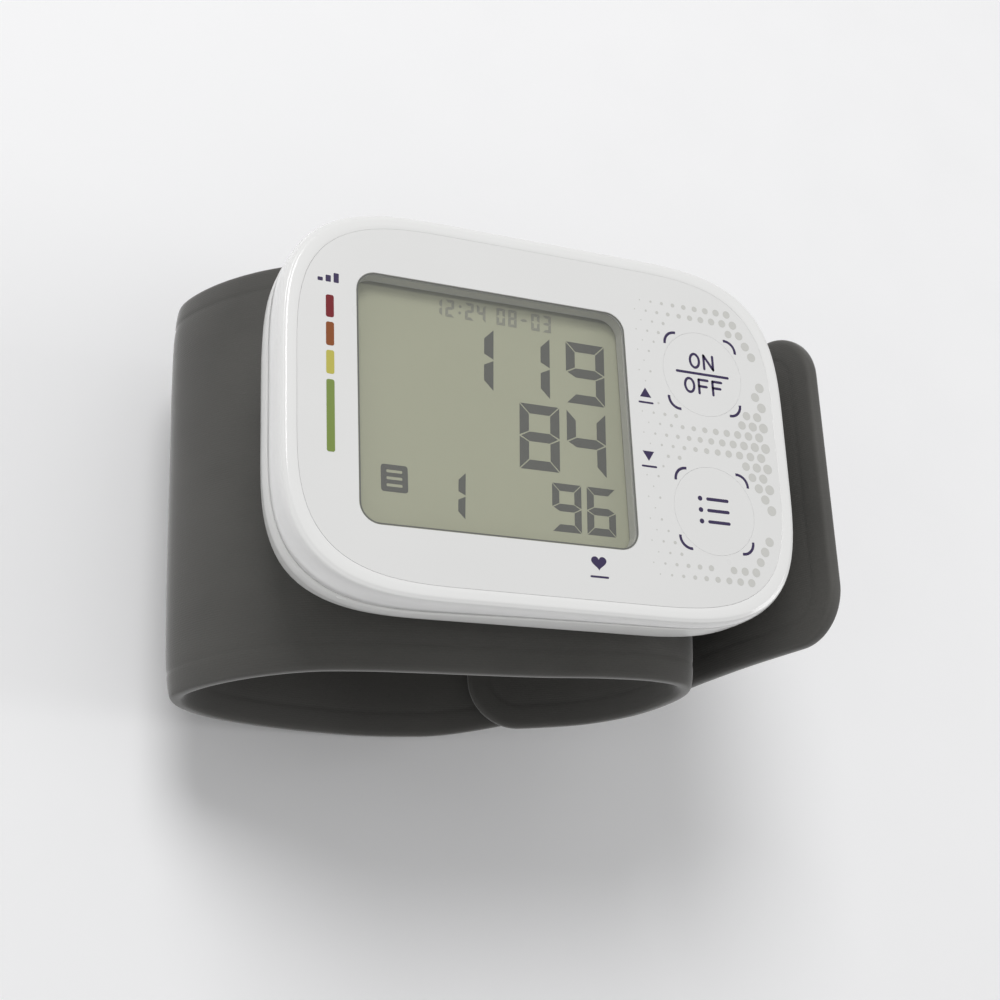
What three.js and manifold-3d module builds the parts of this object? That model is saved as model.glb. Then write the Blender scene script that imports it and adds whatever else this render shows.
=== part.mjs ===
// Wrist blood pressure monitor lying on its cuff with the display up.
// X runs to the display's right, Y to the top of the display and Z out of it. The origin lies
// under the middle of the case, on the flat of the cuff that the monitor rests on. Millimetres.

import * as THREE from 'three';
import { mergeVertices } from 'three/addons/utils/BufferGeometryUtils.js';
import Module from 'manifold-3d';

const wasm = await Module();
wasm.setup();

// General
const CLEARANCE = 0.3; // between pieces that meet
const OVERRUN = 2; // how far a cutting tool runs past what it cuts
const ROUND_STEPS = 20; // facets round a drilled hole or a turned piece
const BEND_STEPS = 6; // facets round the corner of a drawn rectangle

// Strap
const STRAP_WIDTH = 64;
const TAIL_WIDTH = 51;
const TAIL_SHIFT = 2; // how far the tail runs off to the near side
const STRAP_THICKNESS = 3.8;
const EDGE_THICKNESS = 1.7;
const WELD_MARGIN = 4; // the welded hem along every edge
const STRAP_CORNER_RADIUS = 8.5;
const STRAP_STATION = 3; // step along the strap
const REST_CUT = 0.5; // how far the bottom is pressed flat
const LOOP_RISE = 48; // from the lowest to the highest middle line
const LAP_GAP = 0.6; // between the two leaves where they lap
const SKIN_THICKNESS = 0.7;
const HOOK_THICKNESS = 0.5;

// Case
const CASE_LENGTH = 80;
const CASE_WALL = 1.8;
const FLOOR_WALL = 1.5;
const TOP_WALL = 1.4;
const RIM_WIDTH = 2.4; // from the side of the case to the face panel
const SHOULDER_DEPTH = 2.6;
const POD_INSET = 8.2; // how far the flanks draw in on the way down
const CORNER_LENGTH_SHARE = 0.66;
const CORNER_BREADTH_SHARE = 0.85;
const CORNER_EXPONENT = 3.3;
const CORNER_STEPS = 8;
const WEDGE_SHARE = 0.22; // how much shallower the right end is
const PARTING_LEFT = 6.6; // depth of the parting line below the face
const PARTING_RIGHT = 3.2;
const LIP_HEIGHT = 1.2;
const LIP_ROOT = 2.4; // how far the lip reaches down inside its own cover
const LIP_THICKNESS = 0.8;

// Rows down the outside of the case: inset and depth, as shares of the rim and then of the pod
const RIM_SHARES = [[1, 0], [0.5, 0], [0.24, 0.15], [0.07, 0.48], [0, 1]];
const POD_SHARES = [
  [0.02, 0.26], [0.075, 0.37], [0.21, 0.56], [0.36, 0.73], [0.49, 0.865], [0.7, 0.95], [1, 1],
];
const SWEEP_SHARE = 0.33; // where the parting line turns, of half the case's length

// Face
const PANEL_THICKNESS = 0.6;
const WINDOW_INSET = 10.9; // from the left side of the case
const WINDOW_MARGIN = 10.1; // from the long sides of the case
const WINDOW_CORNER = 3;
const KEY_ZONE = 27.2; // from the window to the right side of the case
const KEY_INSET = 14.25; // from the right side of the case
const START_KEY_Y = 10.7;
const MEMORY_KEY_Y = -10.95;
const KEY_RADIUS = 6.75;
const KEY_FLANGE = 0.9;
const KEY_FLANGE_THICKNESS = 0.7;
const KEY_DISH = 0.25;
const KEY_DISH_SHARES = [0.5, 0.6]; // radius and depth where the dish levels out
const KEY_TRAVEL = 0.5;

// Display and circuit board
const GLASS_BORDER = 1.8; // glass beyond the window
const GLASS_THICKNESS = 1.8;
const GLASS_LEDGE = 2.4; // contact ledge along the top of the glass
const LCD_FRAME_WALL = 0.9;
const LCD_FRAME_FOOT = 1;
const ZEBRA_WIDTH = 1.6;
const ZEBRA_INSET = 0.8;
const BOARD_GAP = 0.4; // from the screw bosses
const BOARD_MARGIN = 5; // from the long sides of the case
const BOARD_THICKNESS = 1.2;
const BOARD_CORNER = 5.5;
const BOARD_DEPTH = 6.2; // face to the top of the board
const SWITCH_SIZE = 6;
const SWITCH_BUTTON_RADIUS = 1.6;
const SWITCH_BUTTON_HEIGHT = 0.4;
const CONTROLLER_SIZE = 9;
const DRIVER_SIZE = 4.5;
const CHIP_HEIGHT = 1.4;
const BUZZER_RADIUS = 4.5;
const BUZZER_HEIGHT = 3.2;
const BUZZER_INSET_X = 4;
const BUZZER_INSET_Y = 1.5;
const STAND_RADIUS = 1.5;
const STAND_INSET = 2.8; // from the board's edges to the stands under it
const CONTROLLER_INSET = 4.5; // from the right edge of the board
const CONTROLLER_Y = -4.5;
const DRIVER_GAP = 4; // from the pump
const DRIVER_INSET = 6.9; // from the near edge of the board

// Batteries
const CELL_RADIUS = 5.25;
const CELL_LENGTH = 44.5;
const CELL_NUB_RADIUS = 1.9;
const CELL_NUB_HEIGHT = 0.9;
const CELL_GAP = 0.4;
const CELL_MARGIN = 12; // from the case's left side to the nearer cell
const CELL_HEADROOM = 0.4; // under the stands' level
const BAY_END = 6.25; // from the ends of the cells to the side of the case
const BAY_FLOOR = 4.4; // from the underside of the cells to that of the pod
const SADDLE_RISE = 2.5; // how far the saddle rises above the underside of the cells
const CONTACT_THICKNESS = 0.4;
const CONTACT_SIZE = 5.4;
const RIB_THICKNESS = 1.2;
const RIB_COUNT = 3;
const RIB_MARGIN = 3.6; // from the ends of the cells to the outer ribs
const CRADLE_DEPTH = 3.5; // how far the ribs come up round the cells

// Air system
const PUMP_LENGTH = 9;
const PUMP_WIDTH = 13;
const PUMP_HEADROOM = 0.45; // under the display's frame
const PUMP_GAP = 1.2; // from the battery bay's wall
const MOTOR_LENGTH = 12.4;
const BEARING_RADIUS = 1.7; // boss at the motor's free end
const BEARING_LENGTH = 0.4;
const MOTOR_INSET = 4.9; // from the near side of the case
const PORT_RADIUS = 1.1;
const PORT_LENGTH = 2.2;
const SHORT_PORT_LENGTH = 1.1;
const SENSOR_PORT_LENGTH = 0.7;
const TUBE_RADIUS = 1.7;
const MANIFOLD_GAP = 8.1; // from the pump, for the tube
const MANIFOLD_Y = 5;
const MANIFOLD_SIZE = 6;
const MANIFOLD_HEIGHT = 3.6;
const NIPPLE_RADIUS = 1.6;
const SENSOR_SIZE = 7;
const VALVE_RADIUS = 2.1;
const VALVE_LENGTH = 10;
const CURL_PLATE_THICKNESS = 0.7;
const BLADDER_THICKNESS = 0.8;
const POCKET_MARGIN = 2; // from the weld to the sleeve's pocket

// Fasteners
const BOSS_RADIUS = 2.3;
const BOSS_INSET = 5.3; // from the ends of the case
const DEEP_BOSS_MARGIN = 16.5; // from the long sides, at the battery bay
const SHALLOW_BOSS_MARGIN = 12.5;
const SCREW_RADIUS = 0.95;
const SCREW_HEAD_RADIUS = 1.5;
const SCREW_HEAD_HEIGHT = 1.2;
const SCREW_HEAD_BEVEL = 0.4;
const SCREW_LENGTH = 7.5;
const STUD_RADIUS = 1.5; // pegs of the curl plate in the saddle
const STUD_ROOT = 4.5;
const STUD_X_SHARES = [0.042, 0.504]; // of half the case's length
const STUD_Y_SHARES = [0.62, -0.62]; // of half the pocket's width

// Route of the strap's middle line: shares of half the case's length and of LOOP_RISE
const LAP_SHARES = [[0.125, 0.031], [0.35, 0.104], [0.55, 0.176]];
const CUSP_SHARES = [[0.713, 0.358], [0.82, 0.502], [0.858, 0.679]];
const FRONT_SHARES = [
  [0.84, 0.846], [0.76, 0.958], [0.612, 1], [0.39, 0.992], [0.175, 0.955], [-0.05, 0.931],
  [-0.275, 0.912], [-0.487, 0.888], [-0.665, 0.846], [-0.8, 0.767], [-0.92, 0.65], [-1, 0.517],
];
const BEND_SHARES = [[-1.023, 0.417]];
const LEAF_SHARES = [
  [-0.985, 0.317], [-0.89, 0.217], [-0.75, 0.135], [-0.55, 0.067], [-0.326, 0.021], [-0.1, 0.001],
];
const HEEL_SHARES = [[0.825, 0.283]];
// The tail's shares are of half the case's length plus half the strap's thickness
const TAIL_SHARES = [
  [0.936, 0.383], [1.006, 0.5125], [1.026, 0.7], [1.051, 0.908], [1.095, 1.117], [1.15, 1.335],
];

const halfLength = CASE_LENGTH / 2;
const halfBreadth = CELL_LENGTH / 2 + BAY_END;
const boardBaseDepth = BOARD_DEPTH + BOARD_THICKNESS;
const cellBaseDepth = boardBaseDepth + CLEARANCE + CELL_HEADROOM + CELL_RADIUS * 2;
const caseDepth = cellBaseDepth - SADDLE_RISE; // face to saddle where the band is highest
const podDepth = cellBaseDepth + BAY_FLOOR - SHOULDER_DEPTH;
const bossX = halfLength - BOSS_INSET;
const boardHalfX = bossX - BOSS_RADIUS - BOARD_GAP;
const boardHalfY = halfBreadth - BOARD_MARGIN;
const windowLeft = WINDOW_INSET - halfLength;
const windowRight = halfLength - KEY_ZONE;
const windowX = (windowLeft + windowRight) / 2;
const windowLength = windowRight - windowLeft;
const windowBreadth = (halfBreadth - WINDOW_MARGIN) * 2;
const keyX = halfLength - KEY_INSET;
const lowestLine = STRAP_THICKNESS / 2 - REST_CUT;
const lapLift = STRAP_THICKNESS + LAP_GAP;
const bandTop = lowestLine + LOOP_RISE + STRAP_THICKNESS / 2;
const faceZ = bandTop + CLEARANCE + caseDepth;
const below = (depth) => faceZ - depth;

// Materials
const material = (color, roughness, metalness = 0) =>
  new THREE.MeshStandardMaterial({ color, roughness, metalness });
const whiteGloss = material(0xf1f1f0, 0.25);
const panelWhite = material(0xe6e7e6, 0.35);
const clearPlastic = material(0xd6dcd4, 0.1);
const lcdGreen = material(0xa3a38e, 0.2);
const greyPlastic = material(0x8d8f8c, 0.5);
const whitePlastic = material(0xe2e2e0, 0.55);
const blackPlastic = material(0x1d1e20, 0.5);
const boardGreen = material(0x1f5a3a, 0.5);
const steel = material(0xb8babc, 0.35, 1);
const brassMetal = material(0xc8a55a, 0.35, 1);
const cellJacket = material(0x3f4a55, 0.4);
const siliconeClear = material(0xcfd2cc, 0.45);
const fabricGrey = material(0x585752, 0.9);
const hookGrey = material(0x3c3c3a, 0.95);
const bladderGrey = material(0x6b6d6a, 0.7);

// Solids
function toSolid(geometry) {
  const plain = geometry.clone();
  plain.deleteAttribute('normal');
  plain.deleteAttribute('uv');
  const merged = mergeVertices(plain);
  return new wasm.Manifold(new wasm.Mesh({
    numProp: 3,
    vertProperties: new Float32Array(merged.attributes.position.array),
    triVerts: new Uint32Array(merged.index.array),
  }));
}

function toGeometry(solid) {
  const { numProp, vertProperties, triVerts } = solid.getMesh();
  const places = new Float32Array((vertProperties.length / numProp) * 3);
  for (let i = 0; i < places.length / 3; i += 1) {
    places.set(vertProperties.subarray(i * numProp, i * numProp + 3), i * 3);
  }
  const geometry = new THREE.BufferGeometry();
  geometry.setAttribute('position', new THREE.BufferAttribute(places, 3));
  geometry.setIndex(Array.from(triVerts));
  return geometry;
}

const joined = (...solids) => solids.reduce((sum, next) => sum.add(next));
const without = (solid, ...cuts) => cuts.reduce((rest, cut) => rest.subtract(cut), solid);

// A closed body through rings of equal count, each ring convex, with flat ends
function loft(rings) {
  const count = rings[0].length;
  const places = rings.flat().flatMap((p) => [p.x, p.y, p.z]);
  const faces = [];
  for (let r = 0; r < rings.length - 1; r += 1) {
    for (let i = 0; i < count; i += 1) {
      const a = r * count + i;
      const b = r * count + ((i + 1) % count);
      faces.push([a, b, b + count], [a, b + count, a + count]);
    }
  }
  const last = (rings.length - 1) * count;
  for (let i = 1; i < count - 1; i += 1) {
    faces.push([0, i + 1, i], [last, last + i, last + i + 1]);
  }
  const corner = (i) => new THREE.Vector3().fromArray(places, i * 3);
  const volume = faces.reduce(
    (sum, [a, b, c]) => sum + corner(a).dot(corner(b).cross(corner(c))), 0);
  const facing = volume < 0 ? faces.map(([a, b, c]) => [a, c, b]) : faces;
  const geometry = new THREE.BufferGeometry();
  geometry.setAttribute('position', new THREE.Float32BufferAttribute(places, 3));
  geometry.setIndex(facing.flat());
  return toSolid(geometry);
}

function box(x, y, z, sizeX, sizeY, sizeZ) {
  return toSolid(new THREE.BoxGeometry(sizeX, sizeY, sizeZ).translate(x, y, z));
}

// A box given by its lowest and highest corners
function span([x0, y0, z0], [x1, y1, z1]) {
  return box((x0 + x1) / 2, (y0 + y1) / 2, (z0 + z1) / 2, x1 - x0, y1 - y0, z1 - z0);
}

function post(x, y, z0, z1, radius) {
  const geometry = new THREE.CylinderGeometry(radius, radius, z1 - z0, ROUND_STEPS);
  return toSolid(geometry.rotateX(Math.PI / 2).translate(x, y, (z0 + z1) / 2));
}

function barAlongY(x, z, y0, y1, radius) {
  const geometry = new THREE.CylinderGeometry(radius, radius, y1 - y0, ROUND_STEPS);
  return toSolid(geometry.translate(x, (y0 + y1) / 2, z));
}

function barAlongX(y, z, x0, x1, radius) {
  const geometry = new THREE.CylinderGeometry(radius, radius, x1 - x0, ROUND_STEPS);
  return toSolid(geometry.rotateZ(Math.PI / 2).translate((x0 + x1) / 2, y, z));
}

function turned(x, y, z, profile) {
  const points = profile.map(([r, h]) => new THREE.Vector2(r, h));
  const geometry = new THREE.LatheGeometry(points, ROUND_STEPS);
  return toSolid(geometry.rotateX(Math.PI / 2).translate(x, y, z));
}

function slab(shape, z0, z1) {
  const geometry = new THREE.ExtrudeGeometry(shape, {
    depth: z1 - z0, bevelEnabled: false, curveSegments: BEND_STEPS,
  });
  return toSolid(geometry.translate(0, 0, z0));
}

// A shape drawn in X and Z, run along Y
function alongY(points, y0, y1) {
  const shape = new THREE.Shape(points.map(([x, z]) => new THREE.Vector2(x, z)));
  const geometry = new THREE.ExtrudeGeometry(shape, { depth: y1 - y0, bevelEnabled: false });
  return toSolid(geometry.rotateX(Math.PI / 2).translate(0, y1, 0));
}

function roundedRectangle(x, y, length, breadth, radius) {
  const shape = new THREE.Shape();
  const [x0, x1] = [x - length / 2, x + length / 2];
  const [y0, y1] = [y - breadth / 2, y + breadth / 2];
  shape.moveTo(x0 + radius, y0);
  shape.lineTo(x1 - radius, y0);
  shape.absarc(x1 - radius, y0 + radius, radius, -Math.PI / 2, 0, false);
  shape.lineTo(x1, y1 - radius);
  shape.absarc(x1 - radius, y1 - radius, radius, 0, Math.PI / 2, false);
  shape.lineTo(x0 + radius, y1);
  shape.absarc(x0 + radius, y1 - radius, radius, Math.PI / 2, Math.PI, false);
  shape.lineTo(x0, y0 + radius);
  shape.absarc(x0 + radius, y0 + radius, radius, Math.PI, Math.PI * 1.5, false);
  return shape;
}

// Strap: one middle line from the inner end, round the loop, to the tip of the tail
const routePoint = ([shareX, shareZ], outward = 0, lift = 0) => new THREE.Vector3(
  shareX * halfLength + outward, 0, lowestLine + shareZ * LOOP_RISE + lift);
const routeParts = [
  LAP_SHARES.map((share) => routePoint(share, 0, lapLift)),
  CUSP_SHARES.map((share) => routePoint(share)),
  FRONT_SHARES.map((share) => routePoint(share)),
  BEND_SHARES.map((share) => routePoint(share)),
  LEAF_SHARES.map((share) => routePoint(share)),
  LAP_SHARES.map((share) => routePoint(share)),
  HEEL_SHARES.map((share) => routePoint(share)),
  TAIL_SHARES.map((share) => routePoint(share, STRAP_THICKNESS / 2)),
];
const route = new THREE.CatmullRomCurve3(routeParts.flat(), false, 'centripetal');
route.arcLengthDivisions = (route.points.length - 1) * ROUND_STEPS;
const routeLengths = route.getLengths();
const strapLength = routeLengths[routeLengths.length - 1];
const lengthTo = (index) => routeLengths[index * ROUND_STEPS];
const indexAfter = (parts) => routeParts.slice(0, parts).flat().length;
const cuspAt = lengthTo(indexAfter(2) - 1);
const bendAt = lengthTo(indexAfter(3));
const heelAt = lengthTo(indexAfter(6));

// Place, direction and outward normal of the strap at a distance along it
function strapAt(distance) {
  const share = THREE.MathUtils.clamp(distance / strapLength, 0, 1);
  const point = route.getPointAt(share);
  const tangent = route.getTangentAt(share);
  return { point, tangent, normal: new THREE.Vector3(tangent.z, 0, -tangent.x) };
}

function roundedEnd(toEnd) {
  const left = Math.max(STRAP_CORNER_RADIUS - toEnd, 0);
  return STRAP_CORNER_RADIUS - Math.sqrt(STRAP_CORNER_RADIUS ** 2 - left ** 2);
}

// How far the strap has narrowed on its way to the tail, from nought to one
function narrowingAt(distance) {
  return THREE.MathUtils.smoothstep(distance, lengthTo(indexAfter(5)), lengthTo(indexAfter(7)));
}

function strapHalfWidth(distance) {
  const half = (STRAP_WIDTH - (STRAP_WIDTH - TAIL_WIDTH) * narrowingAt(distance)) / 2;
  return half - roundedEnd(distance) - roundedEnd(strapLength - distance);
}

function strapHalfThickness(distance) {
  const toEnd = Math.min(distance, strapLength - distance);
  const share = THREE.MathUtils.smoothstep(toEnd, 0, WELD_MARGIN);
  return (EDGE_THICKNESS + (STRAP_THICKNESS - EDGE_THICKNESS) * share) / 2;
}

// Distances along the strap, closer together round its two rounded ends
function stations(from, to) {
  const marks = [from, to];
  const count = Math.ceil((to - from) / STRAP_STATION);
  for (let i = 1; i < count; i += 1) {
    marks.push(from + ((to - from) * i) / count);
  }
  for (let i = 1; i <= CORNER_STEPS; i += 1) {
    const inward = STRAP_CORNER_RADIUS * (1 - Math.cos((i / CORNER_STEPS) * (Math.PI / 2)));
    marks.push(inward, strapLength - inward);
  }
  const least = STRAP_STATION / CORNER_STEPS;
  const inside = marks.filter((mark) => mark >= from && mark <= to).sort((a, b) => a - b);
  return inside.filter((mark, i) => i === 0 || i === inside.length - 1
    || (mark - inside[i - 1] > least && to - mark > least));
}

function strapRing(distance, corners) {
  const { point, normal } = strapAt(distance);
  return corners.map(([y, out]) => point.clone().addScaledVector(normal, out).setY(y));
}

function strapBody(from, to) {
  return loft(stations(from, to).map((distance) => {
    const half = strapHalfWidth(distance);
    const thick = strapHalfThickness(distance);
    const edge = EDGE_THICKNESS / 2;
    const inner = half - WELD_MARGIN;
    const corners = [
      [-half, -edge], [-inner, -thick], [inner, -thick], [half, -edge],
      [half, edge], [inner, thick], [-inner, thick], [-half, edge],
    ];
    const shift = TAIL_SHIFT * narrowingAt(distance);
    return strapRing(distance, corners.map(([y, out]) => [y - shift, out]));
  }));
}

// A plain layer inside the strap, from one depth of its thickness to another
function strapLayer(from, to, half, inside, outside) {
  return loft(stations(from, to).map((distance) => strapRing(distance, [
    [-half, inside], [half, inside], [half, outside], [-half, outside],
  ])));
}

const pocketHalf = STRAP_WIDTH / 2 - WELD_MARGIN - POCKET_MARGIN;
const pocketTop = STRAP_THICKNESS / 2 - SKIN_THICKNESS;
const plateTop = pocketTop - CLEARANCE;
const plateBase = plateTop - CURL_PLATE_THICKNESS;
const bladderTop = plateBase - CLEARANCE;
const bladderBase = bladderTop - BLADDER_THICKNESS;
const pocketBase = bladderBase - CLEARANCE;
const layerHalf = pocketHalf - CLEARANCE;
const plateFrom = lengthTo(indexAfter(2) + 1);
const plateTo = lengthTo(indexAfter(3) - 2);

const innerLeaf = strapBody(0, cuspAt - CLEARANCE / 2);
const sleeve = without(
  strapBody(cuspAt + CLEARANCE / 2, bendAt - CLEARANCE / 2),
  strapLayer(cuspAt - OVERRUN, bendAt + OVERRUN, pocketHalf, pocketBase, pocketTop),
);
const ground = box(0, 0, -CASE_LENGTH / 2, CASE_LENGTH * 2, STRAP_WIDTH * 2, CASE_LENGTH);
const leafBody = without(strapBody(bendAt + CLEARANCE / 2, heelAt - CLEARANCE / 2), ground);
const tailBody = strapBody(heelAt + CLEARANCE / 2, strapLength);

// The pad of hooks on the outer leaf, under the inner leaf
const hookFrom = lengthTo(indexAfter(5)) + WELD_MARGIN;
const hookTo = heelAt - WELD_MARGIN;
const hookHalf = TAIL_WIDTH / 2 - WELD_MARGIN - POCKET_MARGIN * 2;
const hookBase = -STRAP_THICKNESS / 2;
const hookRecess = strapLayer(
  hookFrom - CLEARANCE, hookTo + CLEARANCE, hookHalf + CLEARANCE,
  hookBase - OVERRUN, hookBase + HOOK_THICKNESS + CLEARANCE / 2,
);
const hookTop = hookBase + HOOK_THICKNESS - CLEARANCE / 2;
const hookPad = strapLayer(hookFrom, hookTo, hookHalf, hookBase, hookTop);

// Case: an outline with superelliptic corners, drawn in and deepened row by row
function caseOutline(inset) {
  const [halfX, halfY] = [halfLength - inset, halfBreadth - inset];
  const [cornerX, cornerY] = [halfX * CORNER_LENGTH_SHARE, halfY * CORNER_BREADTH_SHARE];
  const power = 2 / CORNER_EXPONENT;
  const points = [];
  for (const [signX, signY, turn] of [[1, 1, 0], [-1, 1, 1], [-1, -1, 0], [1, -1, 1]]) {
    for (let i = 0; i <= CORNER_STEPS; i += 1) {
      const share = turn ? 1 - i / CORNER_STEPS : i / CORNER_STEPS;
      const angle = share * (Math.PI / 2);
      points.push(new THREE.Vector2(
        signX * (halfX - cornerX + cornerX * Math.max(Math.cos(angle), 0) ** power),
        signY * (halfY - cornerY + cornerY * Math.max(Math.sin(angle), 0) ** power),
      ));
    }
  }
  return points;
}

function caseRing([inset, depth]) {
  const deeper = Math.max(depth - SHOULDER_DEPTH, 0);
  return caseOutline(inset).map(({ x, y }) => {
    const wedge = 1 - (WEDGE_SHARE * (x / halfLength + 1)) / 2;
    return new THREE.Vector3(x, y, below(depth - deeper + deeper * wedge));
  });
}

// Rows of the outside: inset from the sides, and depth below the face
const rimRows = RIM_SHARES.map(([inset, depth]) => [inset * RIM_WIDTH, depth * SHOULDER_DEPTH]);
const podRows = POD_SHARES.map(
  ([inset, depth]) => [inset * POD_INSET, SHOULDER_DEPTH + depth * podDepth]);
const caseSolid = loft([...rimRows, ...podRows].map(caseRing));

const pocketDepth = PANEL_THICKNESS + CLEARANCE;
const ceilingDepth = pocketDepth + TOP_WALL;
function innerSolid(wall, floor = FLOOR_WALL) {
  const rows = podRows.map(([inset, depth]) => [inset + wall, depth]);
  rows[rows.length - 1][1] -= floor;
  rows[rows.length - 2][1] -= floor / 2;
  const ceiling = [[wall + CASE_WALL / 2, ceilingDepth], [wall, ceilingDepth + CASE_WALL]];
  return loft([...ceiling, ...rows].map(caseRing));
}

// The saddle: the outside of the band under the case, level past its highest point
const highestAt = lengthTo(indexAfter(2) + 2);
function saddleSpace(lift) {
  const steps = (indexAfter(3) - indexAfter(2)) * 2;
  const points = [];
  for (let i = 0; i <= steps; i += 1) {
    const { point, normal } = strapAt(highestAt + ((plateTo - highestAt) * i) / steps);
    const edge = point.addScaledVector(normal, STRAP_THICKNESS / 2 + lift);
    points.push([edge.x, edge.z]);
  }
  const [lowX, lowZ] = points[points.length - 1];
  const reach = CASE_LENGTH;
  return alongY(
    [[reach, points[0][1]], ...points, [lowX, lowZ - OVERRUN], [-reach, lowZ - OVERRUN],
      [-reach, below(-OVERRUN)], [reach, below(-OVERRUN)]].reverse(),
    -STRAP_WIDTH, STRAP_WIDTH);
}

const bodySolid = caseSolid.intersect(saddleSpace(CLEARANCE));
const cavity = innerSolid(CASE_WALL).intersect(saddleSpace(CLEARANCE + FLOOR_WALL));

// Above or below the swept parting line, moved by an offset
function partingSpace(offset, upper) {
  const [left, right] = [below(PARTING_LEFT) + offset, below(PARTING_RIGHT) + offset];
  const sweep = new THREE.CubicBezierCurve(
    new THREE.Vector2(-halfLength, left),
    new THREE.Vector2(-halfLength * SWEEP_SHARE, left),
    new THREE.Vector2(-halfLength * SWEEP_SHARE, right),
    new THREE.Vector2(halfLength, right),
  );
  const line = sweep.getPoints(CORNER_STEPS).map((p) => [p.x, p.y]);
  const reach = CASE_LENGTH;
  const far = upper ? below(-OVERRUN) : 0;
  const ends = [[reach, line[line.length - 1][1]], [reach, far], [-reach, far], [-reach, line[0][1]]];
  const loop = [...line, ...ends];
  return alongY(upper ? loop : loop.reverse(), -STRAP_WIDTH, STRAP_WIDTH);
}

const shell = without(bodySolid, cavity);
const deepBossY = halfBreadth - DEEP_BOSS_MARGIN;
const shallowBossY = halfBreadth - SHALLOW_BOSS_MARGIN;
const bossPlaces = [
  [-bossX, -deepBossY], [bossX, -shallowBossY], [bossX, shallowBossY], [-bossX, deepBossY],
];
const bossSplit = below(ceilingDepth + SCREW_LENGTH / 2);
const screwBore = SCREW_RADIUS + CLEARANCE;
const headSeat = bossSplit - SCREW_LENGTH / 2;
const screwTop = bossSplit + SCREW_LENGTH / 2 - CLEARANCE;

// A prism on the window's outline, grown by a margin
function windowSlab(grow, z0, z1, corner = WINDOW_CORNER + grow) {
  const [length, breadth] = [windowLength + grow * 2, windowBreadth + grow * 2];
  return slab(roundedRectangle(windowX, 0, length, breadth, corner), z0, z1);
}

const keyPlaces = [START_KEY_Y, MEMORY_KEY_Y];
const keyHoles = (z0, z1, grow) => joined(
  ...keyPlaces.map((y) => post(keyX, y, z0, z1, KEY_RADIUS + grow)));

// A prism on the outline of the face, drawn in by an inset
function faceSlab(inset, z0, z1) {
  return slab(new THREE.Shape(caseOutline(inset)), z0, z1);
}

function frontCover() {
  const upper = partingSpace(CLEARANCE / 2, true);
  const bossTop = below(ceilingDepth - TOP_WALL / 2);
  const bosses = bossPlaces.map(([x, y]) => post(x, y, bossSplit, bossTop, BOSS_RADIUS));
  const boreTop = screwTop + CLEARANCE;
  const bores = bossPlaces.map(([x, y]) => post(x, y, bossSplit - OVERRUN, boreTop, screwBore));
  const bossSet = joined(...bosses).intersect(caseSolid);
  return without(
    joined(shell.intersect(upper), bossSet),
    ...bores,
    faceSlab(RIM_WIDTH - CLEARANCE / 2, below(pocketDepth), below(-OVERRUN)),
    windowSlab(0, below(ceilingDepth + OVERRUN), below(0)),
    keyHoles(below(ceilingDepth + OVERRUN), below(0), CLEARANCE),
  );
}

// Batteries lie along Y at the deep left end
const cellPitch = CELL_RADIUS * 2 + CELL_GAP;
const cellXs = [0, 1].map((i) => -halfLength + CELL_MARGIN + CELL_RADIUS + i * cellPitch);
const cellZ = below(cellBaseDepth - CELL_RADIUS);
const cellHalf = CELL_LENGTH / 2;
const bayLow = [cellXs[0] - CELL_RADIUS - CLEARANCE, below(cellBaseDepth + CLEARANCE)];
const bayHigh = [cellXs[1] + CELL_RADIUS + CLEARANCE, cellZ + CELL_RADIUS + CLEARANCE];
const boardTop = below(BOARD_DEPTH);
const boardBase = below(boardBaseDepth);
const standTop = boardBase - CLEARANCE;
const contactZ0 = cellZ - CONTACT_SIZE / 2;
const contactZ1 = cellZ + CONTACT_SIZE / 2;
const endWallY = -cellHalf - CLEARANCE * 2 - CONTACT_THICKNESS;

// The doorway in the far wall, as wide as the two cells
function doorway(inset) {
  return span(
    [bayLow[0] + inset, cellHalf - OVERRUN, bayLow[1] + inset],
    [bayHigh[0] - inset, halfBreadth + OVERRUN, bayHigh[1] - inset],
  );
}

// Ribs that cradle the cells, and the wall behind the two contacts at their near end
function batteryRibs() {
  const ribs = [];
  const first = -cellHalf + RIB_MARGIN;
  const pitch = (CELL_LENGTH - RIB_MARGIN * 2) / (RIB_COUNT - 1);
  for (let i = 0; i < RIB_COUNT; i += 1) {
    const y = first + i * pitch - RIB_THICKNESS / 2;
    ribs.push(span([bayLow[0], y, 0], [bayHigh[0], y + RIB_THICKNESS, cellZ - CELL_RADIUS + CRADLE_DEPTH]));
  }
  const bore = CELL_RADIUS + CLEARANCE;
  const cells = cellXs.map((x) => barAlongY(x, cellZ, -halfBreadth, halfBreadth, bore));
  const endWall = span([bayLow[0], endWallY - RIB_THICKNESS, 0], [bayHigh[0], endWallY, contactZ1]);
  return joined(without(joined(...ribs), ...cells), endWall);
}

const standX = boardHalfX - STAND_INSET;
const standY = boardHalfY - STAND_INSET;
const standPlaces = [[standX, standY], [standX, -standY]];
const studPlaces = STUD_X_SHARES.flatMap(
  (x) => STUD_Y_SHARES.map((y) => [x * halfLength, y * pocketHalf]));

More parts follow.
